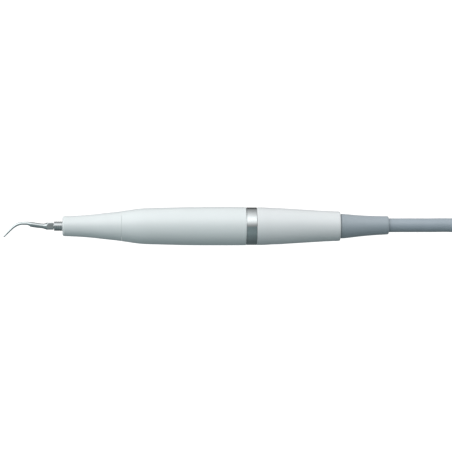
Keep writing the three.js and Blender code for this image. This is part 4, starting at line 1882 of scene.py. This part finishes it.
@dataclass
class CordConnector:
    """The connector that the handpiece pulls off: shell, spigot, pins, nipple and boot.

    Attributes:
        shell_rear: Where the white shell ends.
        boot_rear: Where the boot ends.
        seal_stations: Middles of the spigot's two seals.
        pin_side: How far each pin is off the axis.
    """

    shell_rear: float = 74.95
    boot_rear: float = 100.3
    seal_stations: Pair = (20.0, 24.5)
    pin_side: float = 4.7

    def shell(self) -> list[Corner]:
        """The white shell's outline.

        Returns:
            The outline's corners.
        """
        side = flowing(
            [
                (31.4, 9.83), (34.0, 9.83), (36.2, 9.74), (38.3, 9.6), (43.4, 9.42), (48.6, 9.09),
                (54.8, 8.72), (61.0, 8.34), (67.3, 7.97), (71.4, 7.8), (73.8, 7.72),
            ],
            7,
        )
        return [
            (31.12, 9.78, 0.12),
            *side,
            (74.65, 7.66, 0.5),
            (self.shell_rear, 6.95, 0.35),
            (self.shell_rear, 6, 0.15),
            (73.5, 6, 0),
            (73.5, 6.8, 0),
            (50, 6.8, 0),
            (47.5, 7.8, 0),
            (31.12, 7.8, 0.2),
        ]

    def boot(self) -> list[Corner]:
        """The boot's outline.

        Returns:
            The outline's corners.
        """
        side = flowing(
            [
                (76.4, 6.42), (79.9, 6.1), (83.0, 5.76), (86.2, 5.48), (89.3, 5.25), (92.5, 5.06),
                (96.1, 4.92), (99.1, 4.82),
            ]
        )
        return [
            (70.6, 6.4, 0.1),
            (73.2, 6.4, 0),
            (73.2, 5.6, 0),
            (75.25, 5.6, 0),
            (75.25, 6.4, 0.25),
            *side,
            (self.boot_rear - 0.1, 4.72, 0.7),
            (self.boot_rear, 3.9, 0.25),
            (70.6, 3.9, 0),
        ]

    def core(self) -> list[Corner]:
        """The spigot's outline with its seal grooves.

        Returns:
            The outline's corners.
        """
        corners: list[Corner] = [(15.6, 0, 0), (15.6, 6.5, 0.7)]
        for x in self.seal_stations:
            corners += [
                (x - 0.95, 6.5, 0.12), (x - 0.95, 5.6, 0.1), (x + 0.95, 5.6, 0.1), (x + 0.95, 6.5, 0.12),
            ]
        return corners + [(31.3, 6.5, 0.1), (31.3, 7.45, 0.15), (46, 7.45, 0.2), (46, 0, 0)]

    def build(self, datum: Datum) -> None:
        """Builds and dresses the connector's pieces.

        Args:
            datum: The handpiece's datum.
        """
        body = Body.CORD_SET
        Turning("connector_shell", body, CONNECTOR_SHELL, self.shell(), facets=144).make(datum)
        Turning("cord_boot", body, BOOT_RUBBER, self.boot(), facets=112, bent=True).make(datum)
        side = self.pin_side
        drills = (Drill(14, 48, 1.45), Drill(14, 48, 0.75, y=side), Drill(14, 48, 0.75, y=-side))
        Turning("connector_core", body, BLACK_PLASTIC, self.core(), facets=96, drills=drills).make(datum)
        for index, x in enumerate(self.seal_stations, start=1):
            Turning(f"spigot_o_ring_{index}", body, SEAL_RUBBER, seal_ring(x, 6.35, 0.45)).make(datum)
        for index, place in ((1, -side), (2, side)):
            pin = rod(9.8, 48, 0.45, 0.4)
            Turning(f"contact_pin_{index}", body, CONTACT_GOLD, pin, facets=28, shift=(place, 0)).make(datum)
        nipple = [
            (10.6, 0.95, 0.15), (12.3, 1.15, 0.05), (12.5, 0.98, 0), (13.1, 0.98, 0), (13.3, 1.15, 0.05),
            (49, 1.15, 0.1), (50, 0.95, 0.1), (50, 0.6, 0.1), (10.6, 0.6, 0.1),
        ]
        Turning("water_nipple", body, INNER_STEEL, nipple, facets=40).make(datum)
        Turning("nipple_o_ring", body, SEAL_RUBBER, seal_ring(12.8, 1.4, 0.34), facets=40).make(datum)
        Turning("cord_clamp", body, INNER_STEEL, tube(61, 67, 3.9, 4.7, 0.2)).make(datum)


@dataclass
class EndPlug:
    """The plug on the cord's far end, with its pins, water nipple and coupling nut.

    Attributes:
        radius: The plug's radius.
        face: Where its insert ends.
        pin_side: How far each pin is off the axis.
        nut_front: Where the coupling nut starts.
        nut_rear: Where it ends.
        nut_radius: Its radius.
    """

    radius: float = 8.0
    face: float = 42.2
    pin_side: float = 2.8
    nut_front: float = 34.6
    nut_rear: float = 48.5
    nut_radius: float = 7.7

    def shell(self) -> list[Corner]:
        """The plug shell's outline.

        Returns:
            The outline's corners.
        """
        grip = [(float(x), self.radius, 0.0) for x in np.linspace(17.4, 33.6, 55)]
        return [
            (14.4, 6.6, 0.15), (15.3, 7.5, 0.3), (16.9, self.radius, 0.4), *grip, (34.2, self.radius, 0.3),
            (34.2, 6.3, 0.1), (40.7, 6.3, 0.25), (40.7, 5.3, 0.15), (22.7, 5.3, 0), (22.7, 5.95, 0),
            (16.3, 5.95, 0), (16.3, 5.35, 0), (14.4, 5.35, 0.1),
        ]

    def nut(self) -> list[Corner]:
        """The coupling nut's outline.

        Returns:
            The outline's corners.
        """
        front, rear, radius = self.nut_front, self.nut_rear, self.nut_radius
        grip = [(float(x), radius, 0.0) for x in np.linspace(front + 1.0, rear - 1.0, 49)]
        return [
            (front, 7.15, 0.1), (front + 0.6, radius, 0.2), *grip, (rear - 0.6, radius, 0.2),
            (rear, 7.15, 0.15), (rear, 6.6, 0.15), (front, 6.6, 0.1),
        ]

    def build(self, datum: Datum) -> list[bpy.types.Object]:
        """Builds and dresses the plug.

        Args:
            datum: The plug's datum.

        Returns:
            Its pieces.
        """
        body, side = Body.CORD_SET, self.pin_side
        boot = [
            (0, 4.3, 0.3), *flowing([(0.7, 4.6), (4, 4.86), (8, 5.2), (12.6, 5.8)], 5), (13.4, 5.95, 0.2),
            (14.1, 5.95, 0.2), (14.1, 5, 0.1), (16.6, 5, 0), (16.6, 5.6, 0), (18.7, 5.6, 0), (18.7, 3.9, 0),
            (0, 3.9, 0.15),
        ]
        insert, nipple = rod(23.7, self.face, 5, 0.2), tube(20.7, 47.9, 0.6, 1.15, 0.15)
        grip = Flutes(19.0, 32.0, 30, 0.32, outer_from=self.radius - 0.05)
        knurl = Flutes(self.nut_front + 1.6, self.nut_rear - 1.6, 48, 0.3, outer_from=self.nut_radius - 0.05)
        drills = (Drill(23, 43, 1.45), Drill(23, 43, 0.9, y=side), Drill(23, 43, 0.9, y=-side))
        pieces = [
            Turning("plug_boot", body, BOOT_RUBBER, boot, facets=96).make(datum),
            Turning("plug_shell", body, WHITE_SHELL, self.shell(), facets=360, relief=grip).make(datum),
            Turning("plug_insert", body, BLACK_PLASTIC, insert, facets=80, drills=drills).make(datum),
            Turning("coupling_nut", Body.NUT, RING_STEEL, self.nut(), facets=384, relief=knurl).make(datum),
            Turning("plug_nipple", body, INNER_STEEL, nipple, facets=40).make(datum),
        ]
        for index, place in ((1, -side), (2, side)):
            name, pin = f"plug_pin_{index}", rod(20.7, 46.7, 0.6, 0.55)
            pieces.append(Turning(name, body, CONTACT_GOLD, pin, facets=32, shift=(place, 0)).make(datum))
        return pieces


# ---- Pieces kept from the frame ----------------------------------------------------------------

KEPT: dict[Finish, tuple[str, ...]] = {
    CONTACT_GOLD: tuple(f"electrode_{index}" for index in range(1, 5)),
    INNER_STEEL: ("centre_bolt",),
    SEAL_RUBBER: ("flange_o_ring_1", "flange_o_ring_2"),
    PEEK: ("carrier_sleeve",),
    CLEAR_TUBE: ("water_hose", "inner_water_tube"),
    RED_SKIN: ("lead_live", "inner_wire_1"),
    BLACK_SKIN: ("lead_ground", "inner_wire_2"),
    CORD_SKIN: ("cord_jacket_end",),
}


def dress_kept(nodes: dict[str, bpy.types.Object]) -> None:
    """Gives the frame's own inner pieces their finishes.

    Args:
        nodes: The frame's nodes by name.
    """
    for finish, names in KEPT.items():
        for name in names:
            mesh = nodes[name].data
            mesh.materials.clear()
            mesh.materials.append(finish.material())
            log.info("%s keeps its shape, in %s", name, finish.label)


def main() -> None:
    """Builds the scene in order: frame, camera, cord, light, handpiece, connector, plug, ties."""
    logging.basicConfig(level=logging.INFO, format="%(name)s: %(message)s")
    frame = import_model()
    hand, table, plug = handpiece_datum(), table_datum(), plug_datum()
    CameraStand().build(hand)
    tied = TiedCord()
    cord = tied.build(table)
    LightTent().build()
    Table().build(table)
    ScalerTip().make(hand)
    Transducer().build(hand)
    NoseCone().build(hand)
    Handle().build(hand)
    CordConnector().build(hand)
    pieces = EndPlug().build(plug)
    pieces += [HankTie("hank_tie_1").make(), HankTie("hank_tie_2").make()]
    dress_kept(frame["nodes"])


if __name__ == "__main__":
    main()
